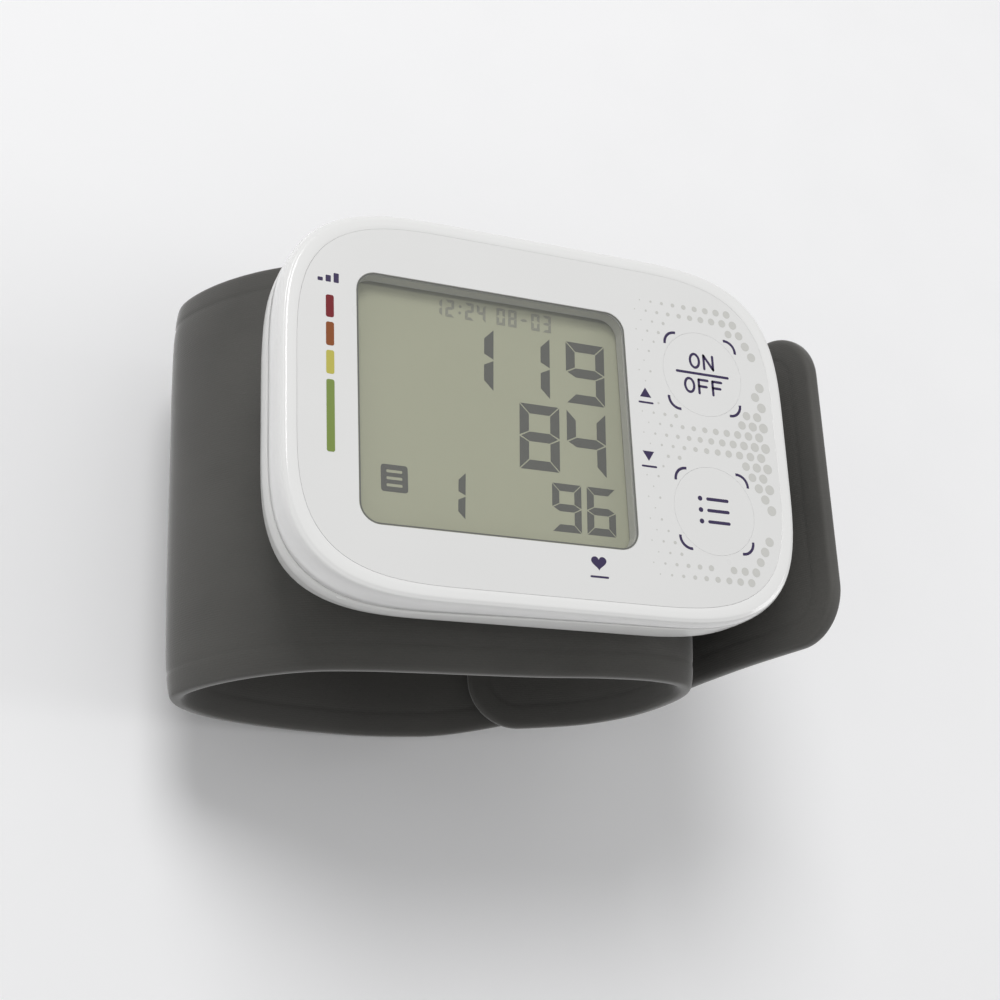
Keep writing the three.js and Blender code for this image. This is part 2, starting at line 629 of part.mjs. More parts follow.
function rearCover() {
  const lower = partingSpace(-CLEARANCE / 2, false);
  const lip = joined(
    without(innerSolid(CASE_WALL - CLEARANCE), innerSolid(CASE_WALL + CLEARANCE + LIP_THICKNESS))
      .intersect(lower).intersect(partingSpace(-LIP_ROOT, true)),
    without(innerSolid(CASE_WALL + CLEARANCE), innerSolid(CASE_WALL + CLEARANCE + LIP_THICKNESS))
      .intersect(partingSpace(LIP_HEIGHT, false)).intersect(partingSpace(-LIP_HEIGHT, true)),
  );
  const wallX = bayHigh[0] + RIB_THICKNESS;
  const bayWall = span([bayHigh[0], -halfBreadth, 0], [wallX, cellHalf, standTop]);
  const stands = standPlaces.map(([x, y]) => post(x, y, 0, standTop, STAND_RADIUS));
  const inside = joined(bayWall, batteryRibs(), ...stands).intersect(
    innerSolid(CASE_WALL - CLEARANCE, FLOOR_WALL - CLEARANCE).intersect(saddleSpace(FLOOR_WALL)));
  const atBosses = (z1, radius, z0 = 0) => bossPlaces.map(([x, y]) => post(x, y, z0, z1, radius));
  const bosses = joined(...atBosses(bossSplit - CLEARANCE, BOSS_RADIUS));
  const bores = atBosses(bossSplit + OVERRUN, screwBore);
  const headBores = atBosses(headSeat, SCREW_HEAD_RADIUS + CLEARANCE);
  const lipCuts = atBosses(below(0), BOSS_RADIUS + CLEARANCE, bossSplit);
  const studBores = studPlaces.map(([x, y]) => post(x, y, 0, standTop, STUD_RADIUS + CLEARANCE));
  return without(
    joined(shell.intersect(lower), lip, inside, bosses.intersect(bodySolid)),
    ...bores, ...headBores, ...lipCuts, ...studBores,
    post(manifoldX, MANIFOLD_Y, 0, standTop, NIPPLE_RADIUS + CLEARANCE),
    doorway(0),
  );
}

// The door is the piece of wall in the doorway, with the block that carries its contact
function batteryDoor() {
  const [from, to] = [cellXs[0] - CONTACT_SIZE / 2, cellXs[1] + CONTACT_SIZE / 2];
  const block = span([from, -endWallY, contactZ0], [to, halfBreadth, contactZ1]);
  return joined(shell, block.intersect(bodySolid)).intersect(doorway(CLEARANCE));
}

// One cell points each way
function batteryCell(index) {
  const x = cellXs[index];
  const can = cellHalf - CELL_NUB_HEIGHT;
  const [low, high] = index === 0 ? [-cellHalf, can] : [-can, cellHalf];
  return joined(
    barAlongY(x, cellZ, low, high, CELL_RADIUS),
    barAlongY(x, cellZ, -cellHalf, cellHalf, CELL_NUB_RADIUS),
  );
}

function contactPlate(x, y, length) {
  return span([x - length / 2, y, contactZ0], [x + length / 2, y + CONTACT_THICKNESS, contactZ1]);
}

// The leaf that presses on the near end of a cell
function batteryContact(x) {
  return contactPlate(x, -cellHalf - CLEARANCE - CONTACT_THICKNESS, CONTACT_SIZE);
}

// The plate that joins the far ends of the two cells
function doorContact() {
  return contactPlate((cellXs[0] + cellXs[1]) / 2, cellHalf + CLEARANCE, cellPitch + CONTACT_SIZE);
}

// Face
const panelInset = RIM_WIDTH + CLEARANCE / 2;
const facePanel = without(
  faceSlab(panelInset, below(PANEL_THICKNESS), faceZ),
  windowSlab(0, below(pocketDepth), below(-OVERRUN)),
  keyHoles(below(pocketDepth), below(-OVERRUN), CLEARANCE),
);
const displayWindow = windowSlab(-CLEARANCE, below(PANEL_THICKNESS), faceZ);

const keyFlangeTop = ceilingDepth + CLEARANCE;
const keyBase = keyFlangeTop + KEY_FLANGE_THICKNESS;

function keyCap(y) {
  const flangeRadius = KEY_RADIUS + KEY_FLANGE;
  const [dishRadius, dishDepth] = KEY_DISH_SHARES;
  return turned(keyX, y, faceZ, [
    [0, -keyBase], [flangeRadius, -keyBase], [flangeRadius, -keyFlangeTop],
    [KEY_RADIUS, -keyFlangeTop], [KEY_RADIUS, -KEY_DISH], [KEY_RADIUS - KEY_DISH, 0],
    [KEY_RADIUS * dishRadius, -KEY_DISH * dishDepth], [0, -KEY_DISH],
  ]);
}

// Display
const glassTop = below(ceilingDepth + CLEARANCE);
const glassBase = glassTop - GLASS_THICKNESS;

function lcdGlass() {
  const length = windowLength + GLASS_BORDER * 2;
  const breadth = windowBreadth + GLASS_BORDER * 2;
  const middle = (glassTop + glassBase) / 2;
  return joined(
    box(windowX, 0, (middle + glassBase) / 2, length, breadth, middle - glassBase),
    box(windowX, -GLASS_LEDGE / 2, middle, length, breadth - GLASS_LEDGE, GLASS_THICKNESS),
  );
}

function lcdFrame() {
  const grow = GLASS_BORDER + CLEARANCE;
  const seat = glassBase - CLEARANCE;
  return without(
    windowSlab(grow + LCD_FRAME_WALL, boardTop + CLEARANCE, glassTop - CLEARANCE, LCD_FRAME_WALL),
    windowSlab(grow, seat, faceZ, CLEARANCE),
    windowSlab(grow - LCD_FRAME_FOOT, 0, faceZ, LCD_FRAME_WALL),
  );
}

function zebraStrip() {
  const y = windowBreadth / 2 - ZEBRA_INSET;
  return span(
    [windowX - windowLength / 2, y - ZEBRA_WIDTH, boardTop + CLEARANCE],
    [windowX + windowLength / 2, y, glassBase - CLEARANCE],
  );
}

// Pump and motor stand on the saddle's floor, beside the battery bay
const pumpX = bayHigh[0] + RIB_THICKNESS + PUMP_GAP + PUMP_WIDTH / 2;
const motorEndY = MOTOR_INSET + BEARING_LENGTH - halfBreadth;
const pumpBackY = motorEndY + MOTOR_LENGTH + CLEARANCE;
const pumpFrontY = pumpBackY + PUMP_LENGTH;
const manifoldX = pumpX + PUMP_WIDTH / 2 + MANIFOLD_GAP + MANIFOLD_SIZE / 2;

// Height of the saddle's floor, seen from inside the case
function saddleFloorAt(x) {
  const floorAt = (distance) => {
    const { point, normal } = strapAt(distance);
    return point.addScaledVector(normal, STRAP_THICKNESS / 2 + CLEARANCE + FLOOR_WALL);
  };
  let height = floorAt(highestAt).z;
  for (let distance = highestAt; distance < plateTo; distance += CLEARANCE) {
    if (strapAt(distance).point.x >= x) {
      height = floorAt(distance).z;
    }
  }
  return height;
}

const pumpBase = saddleFloorAt(pumpX + PUMP_WIDTH / 2) + CLEARANCE;
const pumpTop = boardTop - PUMP_HEADROOM;
const motorRadius = (pumpTop - pumpBase - CLEARANCE) / 2;
const motorZ = pumpBase + motorRadius + CLEARANCE;

function mainBoard() {
  const shape = roundedRectangle(0, 0, boardHalfX * 2, boardHalfY * 2, BOARD_CORNER);
  const notch = span(
    [pumpX - PUMP_WIDTH / 2 - CLEARANCE * 2, -halfBreadth, 0],
    [pumpX + PUMP_WIDTH / 2 + CLEARANCE * 2, pumpFrontY + CLEARANCE * 2, faceZ],
  );
  return without(slab(shape, boardBase, boardTop), notch);
}

function keySwitch(y) {
  const top = below(keyBase + KEY_TRAVEL + CLEARANCE);
  const bodyTop = top - SWITCH_BUTTON_HEIGHT;
  return joined(
    span([keyX - SWITCH_SIZE / 2, y - SWITCH_SIZE / 2, boardTop + CLEARANCE],
      [keyX + SWITCH_SIZE / 2, y + SWITCH_SIZE / 2, bodyTop]),
    post(keyX, y, boardTop + CLEARANCE, top, SWITCH_BUTTON_RADIUS),
  );
}

function pumpHead() {
  const half = PUMP_WIDTH / 2;
  return joined(
    span([pumpX - half, pumpBackY, pumpBase], [pumpX + half, pumpFrontY, pumpTop]),
    barAlongY(pumpX, motorZ, pumpFrontY - CLEARANCE, pumpFrontY + PORT_LENGTH, PORT_RADIUS),
  );
}

function pumpMotor() {
  return joined(
    barAlongY(pumpX, motorZ, motorEndY, pumpBackY - CLEARANCE, motorRadius),
    barAlongY(pumpX, motorZ, motorEndY - BEARING_LENGTH, pumpBackY - CLEARANCE, BEARING_RADIUS),
  );
}

const manifoldBase = saddleFloorAt(manifoldX + MANIFOLD_SIZE / 2) + CLEARANCE;
const manifoldTop = manifoldBase + MANIFOLD_HEIGHT;
const manifoldZ = (manifoldBase + manifoldTop) / 2;

// Hub of the air lines, with the nipple that feeds the bladder through the saddle
function airManifold() {
  const half = MANIFOLD_SIZE / 2;
  const [low, high] = [MANIFOLD_Y - half, MANIFOLD_Y + half];
  const bladderFace = manifoldBase - CLEARANCE * 2 - FLOOR_WALL - (STRAP_THICKNESS / 2 - bladderTop);
  const bladderSlope = Math.abs(strapAt(plateFrom).tangent.z) * NIPPLE_RADIUS;
  return joined(
    span([manifoldX - half, low, manifoldBase], [manifoldX + half, high, manifoldTop]),
    post(manifoldX, MANIFOLD_Y, bladderFace + CLEARANCE + bladderSlope, manifoldZ, NIPPLE_RADIUS),
    post(manifoldX, MANIFOLD_Y, manifoldZ, manifoldTop + SENSOR_PORT_LENGTH, PORT_RADIUS),
    barAlongX(MANIFOLD_Y, manifoldZ, manifoldX - half - SHORT_PORT_LENGTH, manifoldX, PORT_RADIUS),
  );
}

function pressureSensor() {
  const half = SENSOR_SIZE / 2;
  return span(
    [manifoldX - half, MANIFOLD_Y - half, manifoldTop + SENSOR_PORT_LENGTH + CLEARANCE],
    [manifoldX + half, MANIFOLD_Y + half, standTop],
  );
}

function exhaustValve() {
  const from = MANIFOLD_Y + MANIFOLD_SIZE / 2 + CLEARANCE;
  const z = manifoldBase + VALVE_RADIUS;
  return joined(
    barAlongY(manifoldX, z, from, from + VALVE_LENGTH, VALVE_RADIUS),
    barAlongY(manifoldX, z, from, from + VALVE_LENGTH + SHORT_PORT_LENGTH, PORT_RADIUS),
  );
}

function airTube() {
  const from = new THREE.Vector3(pumpX, pumpFrontY + PORT_LENGTH + CLEARANCE, motorZ);
  const portEnd = manifoldX - MANIFOLD_SIZE / 2 - SHORT_PORT_LENGTH;
  const to = new THREE.Vector3(portEnd - CLEARANCE, MANIFOLD_Y, manifoldZ);
  const path = new THREE.CubicBezierCurve3(
    from,
    new THREE.Vector3(from.x, MANIFOLD_Y, from.z),
    new THREE.Vector3(from.x + PORT_LENGTH, MANIFOLD_Y, to.z),
    to,
  );
  const section = new THREE.Shape();
  section.absarc(0, 0, TUBE_RADIUS, 0, Math.PI * 2, false);
  return toSolid(new THREE.ExtrudeGeometry(section, {
    steps: CORNER_STEPS, curveSegments: CORNER_STEPS, extrudePath: path, bevelEnabled: false,
  }));
}

// A chip under the board
function boardChip(x, y, size) {
  return box(x, y, standTop - CHIP_HEIGHT / 2, size, size, CHIP_HEIGHT);
}
const controllerX = boardHalfX - CONTROLLER_INSET - CONTROLLER_SIZE / 2;
const driverX = pumpX + PUMP_WIDTH / 2 + DRIVER_GAP + DRIVER_SIZE / 2;
const driverY = DRIVER_INSET + DRIVER_SIZE / 2 - boardHalfY;

function buzzer() {
  const x = boardHalfX - BUZZER_RADIUS - BUZZER_INSET_X;
  const y = BUZZER_RADIUS + BUZZER_INSET_Y - boardHalfY;
  return post(x, y, standTop - BUZZER_HEIGHT, standTop, BUZZER_RADIUS);
}

// A screw with a pan head, driven up from below
function caseScrew([x, y]) {
  const bottom = headSeat - CLEARANCE - SCREW_HEAD_HEIGHT;
  return turned(x, y, bottom, [
    [0, 0], [SCREW_HEAD_RADIUS - SCREW_HEAD_BEVEL, 0], [SCREW_HEAD_RADIUS, SCREW_HEAD_BEVEL],
    [SCREW_HEAD_RADIUS, SCREW_HEAD_HEIGHT], [SCREW_RADIUS, SCREW_HEAD_HEIGHT],
    [SCREW_RADIUS, screwTop - bottom - SCREW_RADIUS], [0, screwTop - bottom],
  ]);
}

const studTop = (x) => saddleFloorAt(x - STUD_RADIUS) + CLEARANCE;
const studs = studPlaces.map(([x, y]) => post(x, y, studTop(x) - STUD_ROOT, studTop(x), STUD_RADIUS));
const plateSolid = strapLayer(plateFrom, plateTo, layerHalf, plateBase, plateTop);
const underPlate = strapLayer(
  plateFrom - OVERRUN, plateTo + OVERRUN, STRAP_WIDTH, -STRAP_THICKNESS, bladderTop + CLEARANCE);
const boreFrom = lowestLine + LOOP_RISE / 2;
const nippleBore = post(manifoldX, MANIFOLD_Y, boreFrom, faceZ, NIPPLE_RADIUS + CLEARANCE);
const pegBores = studPlaces.map(([x, y]) => post(x, y, boreFrom, faceZ, STUD_RADIUS + CLEARANCE));
const curlPlate = without(joined(plateSolid, without(joined(...studs), underPlate)), nippleBore);
const airBladder = strapLayer(plateFrom, plateTo, layerHalf, bladderBase, bladderTop);
const topSkin = strapLayer(plateFrom, plateTo, STRAP_WIDTH, 0, STRAP_THICKNESS);
const sleeveBores = joined(nippleBore, ...pegBores).intersect(topSkin);

// Assembly
const monitor = new THREE.Group();
monitor.name = 'wrist_monitor';

function add(name, solid, finish) {
  const mesh = new THREE.Mesh(toGeometry(solid), finish);
  mesh.name = name;
  monitor.add(mesh);
}

add('front_cover', frontCover(), whiteGloss);
add('rear_cover', rearCover(), whiteGloss);
add('face_panel', facePanel, panelWhite);
add('display_window', displayWindow, clearPlastic);
add('lcd_glass', lcdGlass(), lcdGreen);
add('lcd_frame', lcdFrame(), greyPlastic);
add('zebra_strip', zebraStrip(), hookGrey);
add('main_board', mainBoard(), boardGreen);
add('start_switch', keySwitch(START_KEY_Y), blackPlastic);
add('memory_switch', keySwitch(MEMORY_KEY_Y), blackPlastic);
add('controller_chip', boardChip(controllerX, CONTROLLER_Y, CONTROLLER_SIZE), blackPlastic);
add('driver_chip', boardChip(driverX, driverY, DRIVER_SIZE), blackPlastic);
add('buzzer', buzzer(), blackPlastic);
add('pump_head', pumpHead(), whitePlastic);
add('pump_motor', pumpMotor(), steel);
add('air_manifold', airManifold(), whitePlastic);
add('pressure_sensor', pressureSensor(), whitePlastic);
add('exhaust_valve', exhaustValve(), steel);
add('air_tube', airTube(), siliconeClear);
add('battery_cell_1', batteryCell(0), cellJacket);
add('battery_cell_2', batteryCell(1), cellJacket);
cellXs.forEach((x, i) => add(`battery_contact_${i + 1}`, batteryContact(x), brassMetal));
add('battery_door', batteryDoor(), whiteGloss);
add('door_contact', doorContact(), brassMetal);
bossPlaces.forEach((place, i) => add(`case_screw_${i + 1}`, caseScrew(place), steel));
add('start_key', keyCap(START_KEY_Y), panelWhite);
add('memory_key', keyCap(MEMORY_KEY_Y), panelWhite);
add('curl_plate', curlPlate, greyPlastic);
add('air_bladder', airBladder, bladderGrey);
add('front_band', without(sleeve, sleeveBores), fabricGrey);
add('inner_leaf', innerLeaf, fabricGrey);
add('outer_leaf', without(leafBody, hookRecess), fabricGrey);
add('hook_pad', hookPad, hookGrey);
add('strap_tail', tailBody, fabricGrey);

export default monitor;
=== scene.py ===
"""Looks of a wrist blood pressure monitor, lying on its cuff with the display up."""

import math

import bmesh
import bpy
import numpy as np
from mathutils import Matrix, Vector


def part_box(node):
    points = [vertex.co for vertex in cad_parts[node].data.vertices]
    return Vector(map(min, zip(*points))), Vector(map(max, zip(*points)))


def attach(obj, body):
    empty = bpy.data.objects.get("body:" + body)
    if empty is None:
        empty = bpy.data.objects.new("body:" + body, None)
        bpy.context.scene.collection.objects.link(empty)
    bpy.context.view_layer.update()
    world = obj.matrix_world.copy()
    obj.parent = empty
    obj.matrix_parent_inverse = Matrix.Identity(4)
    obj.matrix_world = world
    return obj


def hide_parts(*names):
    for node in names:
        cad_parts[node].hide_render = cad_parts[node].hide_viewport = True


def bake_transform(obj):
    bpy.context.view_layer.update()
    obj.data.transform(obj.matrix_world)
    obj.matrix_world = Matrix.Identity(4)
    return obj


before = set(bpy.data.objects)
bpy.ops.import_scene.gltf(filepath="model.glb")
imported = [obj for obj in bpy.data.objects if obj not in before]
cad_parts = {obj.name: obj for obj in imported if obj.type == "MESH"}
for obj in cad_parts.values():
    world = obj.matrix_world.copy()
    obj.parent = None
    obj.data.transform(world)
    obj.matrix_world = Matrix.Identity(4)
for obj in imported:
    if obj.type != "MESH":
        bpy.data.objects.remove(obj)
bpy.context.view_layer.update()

# Lengths are in millimetres here, and become metres where a mesh is made
MM = 0.001

# Case
CASE_LENGTH = 80.0
CASE_BREADTH = 57.0
RIM_WIDTH = 2.4
SHOULDER_DEPTH = 2.6
POD_DEPTH = 20.4
POD_INSET = 8.2
CASE_WALL = 1.8
FLOOR_WALL = 1.5
CEILING_DEPTH = 2.3
POCKET_DEPTH = 0.9
CORNER_LENGTH_SHARE = 0.66
CORNER_BREADTH_SHARE = 0.85
CORNER_EXPONENT = 3.3
WEDGE_SHARE = 0.22
PARTING_LEFT = 5.6
PARTING_RIGHT = 2.1
SWEEP_SHARE = 0.33
PARTING_GAP = 0.16
RIM_SHARES = [[1, 0], [0.5, 0], [0.3, 0.05], [0.1, 0.24], [0, 1]]
POD_SHARES = [
    [0.02, 0.26], [0.075, 0.37], [0.21, 0.56], [0.36, 0.73], [0.49, 0.865], [0.7, 0.95], [1, 1],
]
CORNER_STEPS = 30
LONG_STEPS = 26
SHORT_STEPS = 8
PROFILE_STEPS = 10

# Face
PANEL_THICKNESS = 0.6
PANEL_GAP = 0.02
WINDOW_X = -8.15
WINDOW_LENGTH = 41.9
WINDOW_BREADTH = 36.8
WINDOW_CORNER = 3.0
KEY_X = 25.75
START_KEY_Y = 10.7
MEMORY_KEY_Y = -10.95
KEY_RADIUS = 6.75
KEY_GAP = 0.02
PRINT_LIFT = 0.015
PRINT_THICKNESS = 0.02

# Battery door and screws
CELL_RADIUS = 5.25
CELL_PITCH = 10.9
CELL_MARGIN = 12.0
CELL_BASE_DEPTH = 18.6
CELL_LENGTH = 44.5
DOOR_GAP = 0.25
SCREW_PLACES = [(-34.7, -12.0), (34.7, -16.0), (34.7, 16.0), (-34.7, 12.0)]
HEAD_BORE_RADIUS = 1.8
HEAD_SEAT_DEPTH = 9.8

# Strap
STRAP_WIDTH = 64.0
TAIL_WIDTH = 51.0
TAIL_SHIFT = 2.0
STRAP_THICKNESS = 3.8
WELD_MARGIN = 4.0
STRAP_CORNER_RADIUS = 8.5
REST_CUT = 0.5
LOOP_RISE = 48.0
LAP_GAP = 0.6
CLEARANCE = 0.3
# Route of the strap's middle line: shares of half the case's length and of the loop's rise
LAP_SHARES = [[0.125, 0.031], [0.35, 0.104], [0.55, 0.176]]
CUSP_SHARES = [[0.713, 0.358], [0.82, 0.502], [0.858, 0.679]]
FRONT_SHARES = [
    [0.84, 0.846], [0.76, 0.958], [0.612, 1], [0.39, 0.992], [0.175, 0.955], [-0.05, 0.931],
    [-0.275, 0.912], [-0.487, 0.888], [-0.665, 0.846], [-0.8, 0.767], [-0.92, 0.65], [-1, 0.517],
]
BEND_SHARES = [[-1.023, 0.417]]
LEAF_SHARES = [
    [-0.985, 0.317], [-0.89, 0.217], [-0.75, 0.135], [-0.55, 0.067], [-0.326, 0.021], [-0.1, 0.001],
]
HEEL_SHARES = [[0.825, 0.283]]
TAIL_SHARES = [
    [0.936, 0.383], [1.006, 0.5125], [1.026, 0.7], [1.051, 0.908], [1.095, 1.117], [1.15, 1.335],
]

half_length = CASE_LENGTH / 2
half_breadth = CASE_BREADTH / 2
lowest_line = STRAP_THICKNESS / 2 - REST_CUT
face_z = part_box("face_panel")[1].z / MM


# Materials
def rgb(red, green, blue):
    """A colour from its 0 to 255 screen values."""
    def linear(value):
        share = value / 255
        return share / 12.92 if share <= 0.04045 else ((share + 0.055) / 1.055) ** 2.4
    return (linear(red), linear(green), linear(blue), 1.0)


def surface(material, name):
    """An input of the material's principled shader."""
    return material.node_tree.nodes["Principled BSDF"].inputs[name]


def shader(name, color, roughness, **sockets):
    """A node material with a principled shader whose plain values sit on its own sockets."""
    material = bpy.data.materials.new(name)
    material.use_nodes = True
    for socket, value in {"Base Color": color, "Roughness": roughness, **sockets}.items():
        surface(material, socket.replace("_", " ")).default_value = value
    return material


def add_node(material, kind, **values):
    """A node whose inputs, or else its settings, take the given values."""
    node = material.node_tree.nodes.new("ShaderNode" + kind)
    for name, value in values.items():
        if name in node.inputs:
            node.inputs[name].default_value = value
        else:
            setattr(node, name, value)
    return node


def link(source, target):
    target.id_data.links.new(source, target)


def own_places(material):
    """A piece's own places, in metres."""
    return add_node(material, "TexCoord").outputs["Object"]


def noise(material, place, scale, detail=3.0):
    node = add_node(material, "TexNoise", Scale=scale, Detail=detail)
    link(place, node.inputs["Vector"])
    return node.outputs["Fac"]


def spread(material, factor, low, high):
    """Maps a factor round 0.5 to a range."""
    node = add_node(material, "MapRange")
    for socket, value in (("From Min", 0.3), ("From Max", 0.7), ("To Min", low), ("To Max", high)):
        node.inputs[socket].default_value = value
    link(factor, node.inputs["Value"])
    return node.outputs["Result"]


def calculate(material, operation, *terms):
    """A maths node's result, from sockets and plain numbers."""
    node = add_node(material, "Math", operation=operation)
    for target, term in zip(node.inputs, terms):
        if isinstance(term, float):
            target.default_value = term
        else:
            link(term, target)
    return node.outputs[0]


def vary_color(material, factor, color, amount):
    """Lightens and darkens the base colour by an amount."""
    mix = add_node(material, "Mix", data_type="RGBA")
    mix.inputs[6].default_value = tuple(c * (1 - amount) for c in color[:3]) + (1.0,)
    mix.inputs[7].default_value = tuple(min(c * (1 + amount), 1) for c in color[:3]) + (1.0,)
    link(factor, mix.inputs[0])
    link(mix.outputs[2], surface(material, "Base Color"))


def vary_roughness(material, factor, low, high):
    link(spread(material, factor, low, high), surface(material, "Roughness"))


def add_bump(material, height, distance, strength=1.0):
    bump = add_node(material, "Bump", Distance=distance, Strength=strength)
    link(height, bump.inputs["Height"])
    link(bump.outputs["Normal"], surface(material, "Normal"))


# Scales of the noise, per metre
CLOUD_SCALE = 60.0
GRAIN_SCALE = 3500.0
DRAWN_SCALE = (4000.0, 150.0, 4000.0)


def moulded(name, color, roughness, grain=0.0, **sockets):
    """Moulded plastic: faint cloudiness in its roughness, and a fine grain where it is textured."""
    material = shader(name, color, roughness, **sockets)
    place = own_places(material)
    cloud = noise(material, place, CLOUD_SCALE)
    vary_roughness(material, cloud, roughness * 0.85, roughness * 1.15)
    vary_color(material, cloud, color, 0.012)
    if grain:
        add_bump(material, noise(material, place, GRAIN_SCALE), grain * MM)
    return material


def metal(name, color, roughness):
    """Metal with fine drawn lines along Y."""
    material = shader(name, color, roughness, Metallic=1.0)
    stretch = add_node(material, "Mapping", Scale=DRAWN_SCALE)
    link(own_places(material), stretch.inputs["Vector"])
    lines = noise(material, stretch.outputs["Vector"], 1.0)
    vary_roughness(material, lines, roughness * 0.8, roughness * 1.3)
    vary_color(material, lines, color, 0.05)
    return material


# Tone of the cloth against the distance from the strap's edge: painted highlight on the rim, painted
# shade in the weld groove
EDGE_PAINTED_LIGHT = [
    (0.0, 0.8), (0.45, 0.72), (0.8, 0.46), (3.2, 0.46), (3.75, 0.38), (4.4, 0.45), (6.5, 0.5),
]
EDGE_REACH = 8.0


def edge_painted_light(material, edge):
    """Painted highlight on the rim, painted shade along the weld line, a slightly darker margin and
    an even middle, from the distance to the strap's edge.
    """
    share = calculate(material, "DIVIDE", edge, EDGE_REACH)
    ramp = add_node(material, "ValToRGB")
    elements = ramp.color_ramp.elements
    while len(elements) < len(EDGE_PAINTED_LIGHT):
        elements.new(0.5)
    for element, (distance, tone) in zip(elements, EDGE_PAINTED_LIGHT):
        element.position = distance / EDGE_REACH
        element.color = (tone, tone, tone, 1)
    link(share, ramp.inputs["Fac"])
    return ramp.outputs["Color"]


def cloth(name, color, amount):
    """Brushed loop fabric: fine knit columns along the strap under a short fuzz."""
    material = shader(name, color, 0.7, Sheen_Weight=0.5, Sheen_Roughness=0.36)
    place = add_node(material, "Attribute", attribute_name="strap").outputs["Vector"]
    knit = add_node(
        material, "TexWave", Scale=0.9, Distortion=1.6, Detail=2.0, bands_direction="Y")
    knit.inputs["Detail Scale"].default_value = 1.5
    link(place, knit.inputs["Vector"])
    fuzz = noise(material, place, 2.6, 6.0)
    soft = noise(material, place, 0.06, 2.0)
    height = calculate(material, "MULTIPLY_ADD", knit.outputs["Fac"], 0.25, fuzz)
    tone = calculate(material, "MULTIPLY_ADD", height, 0.35, soft)
    parts = add_node(material, "SeparateXYZ")
    link(place, parts.inputs["Vector"])
    # Painted highlight at the strap's rim and painted shade along its weld line
    edge = edge_painted_light(material, parts.outputs["Z"])
    level = calculate(
        material, "MULTIPLY", calculate(material, "MULTIPLY_ADD", edge, 0.9, tone), 0.43)
    vary_color(material, spread(material, level, 0.0, 1.0), color, amount)
    add_bump(material, height, 0.05 * MM, 0.6)
    return material


WHITE = rgb(237, 237, 236)
PANEL = rgb(229, 229, 228)
PURPLE = rgb(52, 40, 80)
DOT_GREY = rgb(203, 203, 199)

white_gloss = moulded("white_gloss", WHITE, 0.2, Coat_Weight=0.3, Coat_Roughness=0.08)
# Greyer than the front shell: partly the lower shell's own tone, partly painted shade of its
# downward-facing flank
rear_gloss_and_shade = moulded("rear_gloss_and_shade", rgb(223, 223, 221), 0.25)
panel_gloss = moulded("panel_gloss", PANEL, 0.32)
key_gloss = moulded("key_gloss", PANEL, 0.32)
clear_window = shader("clear_window", rgb(238, 240, 236), 0.06, Alpha=0.06)
lcd_green = moulded("lcd_green", rgb(160, 161, 137), 0.35)
lcd_mark = moulded("lcd_mark", rgb(56, 56, 51), 0.45)
lcd_faint = moulded("lcd_faint", rgb(124, 124, 112), 0.45)
wall_grey = moulded("wall_grey", rgb(176, 176, 169), 0.4)
# Dark grey for the painted shadow line round the display window's edge
painted_shadow_grey = moulded("painted_shadow_grey", rgb(104, 105, 101), 0.4)
grey_plastic = moulded("grey_plastic", rgb(141, 143, 140), 0.45, 0.01)
white_plastic = moulded("white_plastic", rgb(226, 226, 224), 0.5, 0.01)
black_plastic = moulded("black_plastic", rgb(30, 31, 33), 0.5, 0.01)
board_green = moulded("board_green", rgb(30, 92, 60), 0.4)
steel = metal("steel", rgb(186, 188, 190), 0.35)
contact_metal = metal("contact_metal", rgb(202, 172, 98), 0.32)
cell_jacket = moulded("cell_jacket", rgb(62, 74, 86), 0.35)
clear_rubber = moulded("clear_rubber", rgb(206, 209, 203), 0.4)
bladder_rubber = moulded("bladder_rubber", rgb(107, 109, 106), 0.6, 0.01)
strap_cloth = cloth("strap_cloth", rgb(75, 74, 71), 0.2)
hook_nylon = moulded("hook_nylon", rgb(58, 58, 56), 0.5, 0.02)
print_purple = moulded("print_purple", PURPLE, 0.5)
print_grey = moulded("print_grey", DOT_GREY, 0.5)
BAR_COLORS = [rgb(118, 14, 26), rgb(136, 72, 22), rgb(188, 180, 80), rgb(121, 141, 66)]
bar_inks = [moulded(f"bar_ink_{i + 1}", color, 0.45) for i, color in enumerate(BAR_COLORS)]

CAD_MATERIALS = [
    (lcd_green, "lcd_glass"), (grey_plastic, "lcd_frame curl_plate"), (board_green, "main_board"),
    (black_plastic, "start_switch memory_switch controller_chip driver_chip buzzer"),
    (white_plastic, "pump_head air_manifold pressure_sensor"),
    (steel, "pump_motor exhaust_valve"), (clear_rubber, "air_tube"),
    (bladder_rubber, "zebra_strip air_bladder"), (cell_jacket, "battery_cell_1 battery_cell_2"),
    (contact_metal, "battery_contact_1 battery_contact_2 door_contact"),
]
for finish, node_names in CAD_MATERIALS:
    for node_name in node_names.split():
        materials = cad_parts[node_name].data.materials
        materials.clear()
        materials.append(finish)


# Meshes
SQUARE = ((-1, -1), (1, -1), (1, 1), (-1, 1))


def add_object(name, data):
    thing = bpy.data.objects.new(name, data)
    bpy.context.scene.collection.objects.link(thing)
    return thing


def new_object(name, data, material):
    data.materials.append(material)
    return add_object(name, data)


def smooth_mesh(mesh, sharp):
    """Smooths all but the edges that are sharper than an angle in degrees."""
    mesh.shade_smooth()
    mesh.set_sharp_from_angle(angle=math.radians(sharp))
    return mesh


MESH_SHARP = 35.0
PLATE_SHARP = 12.0
MERGE_DISTANCE = 0.002
DEGENERATE_LENGTH = 0.001


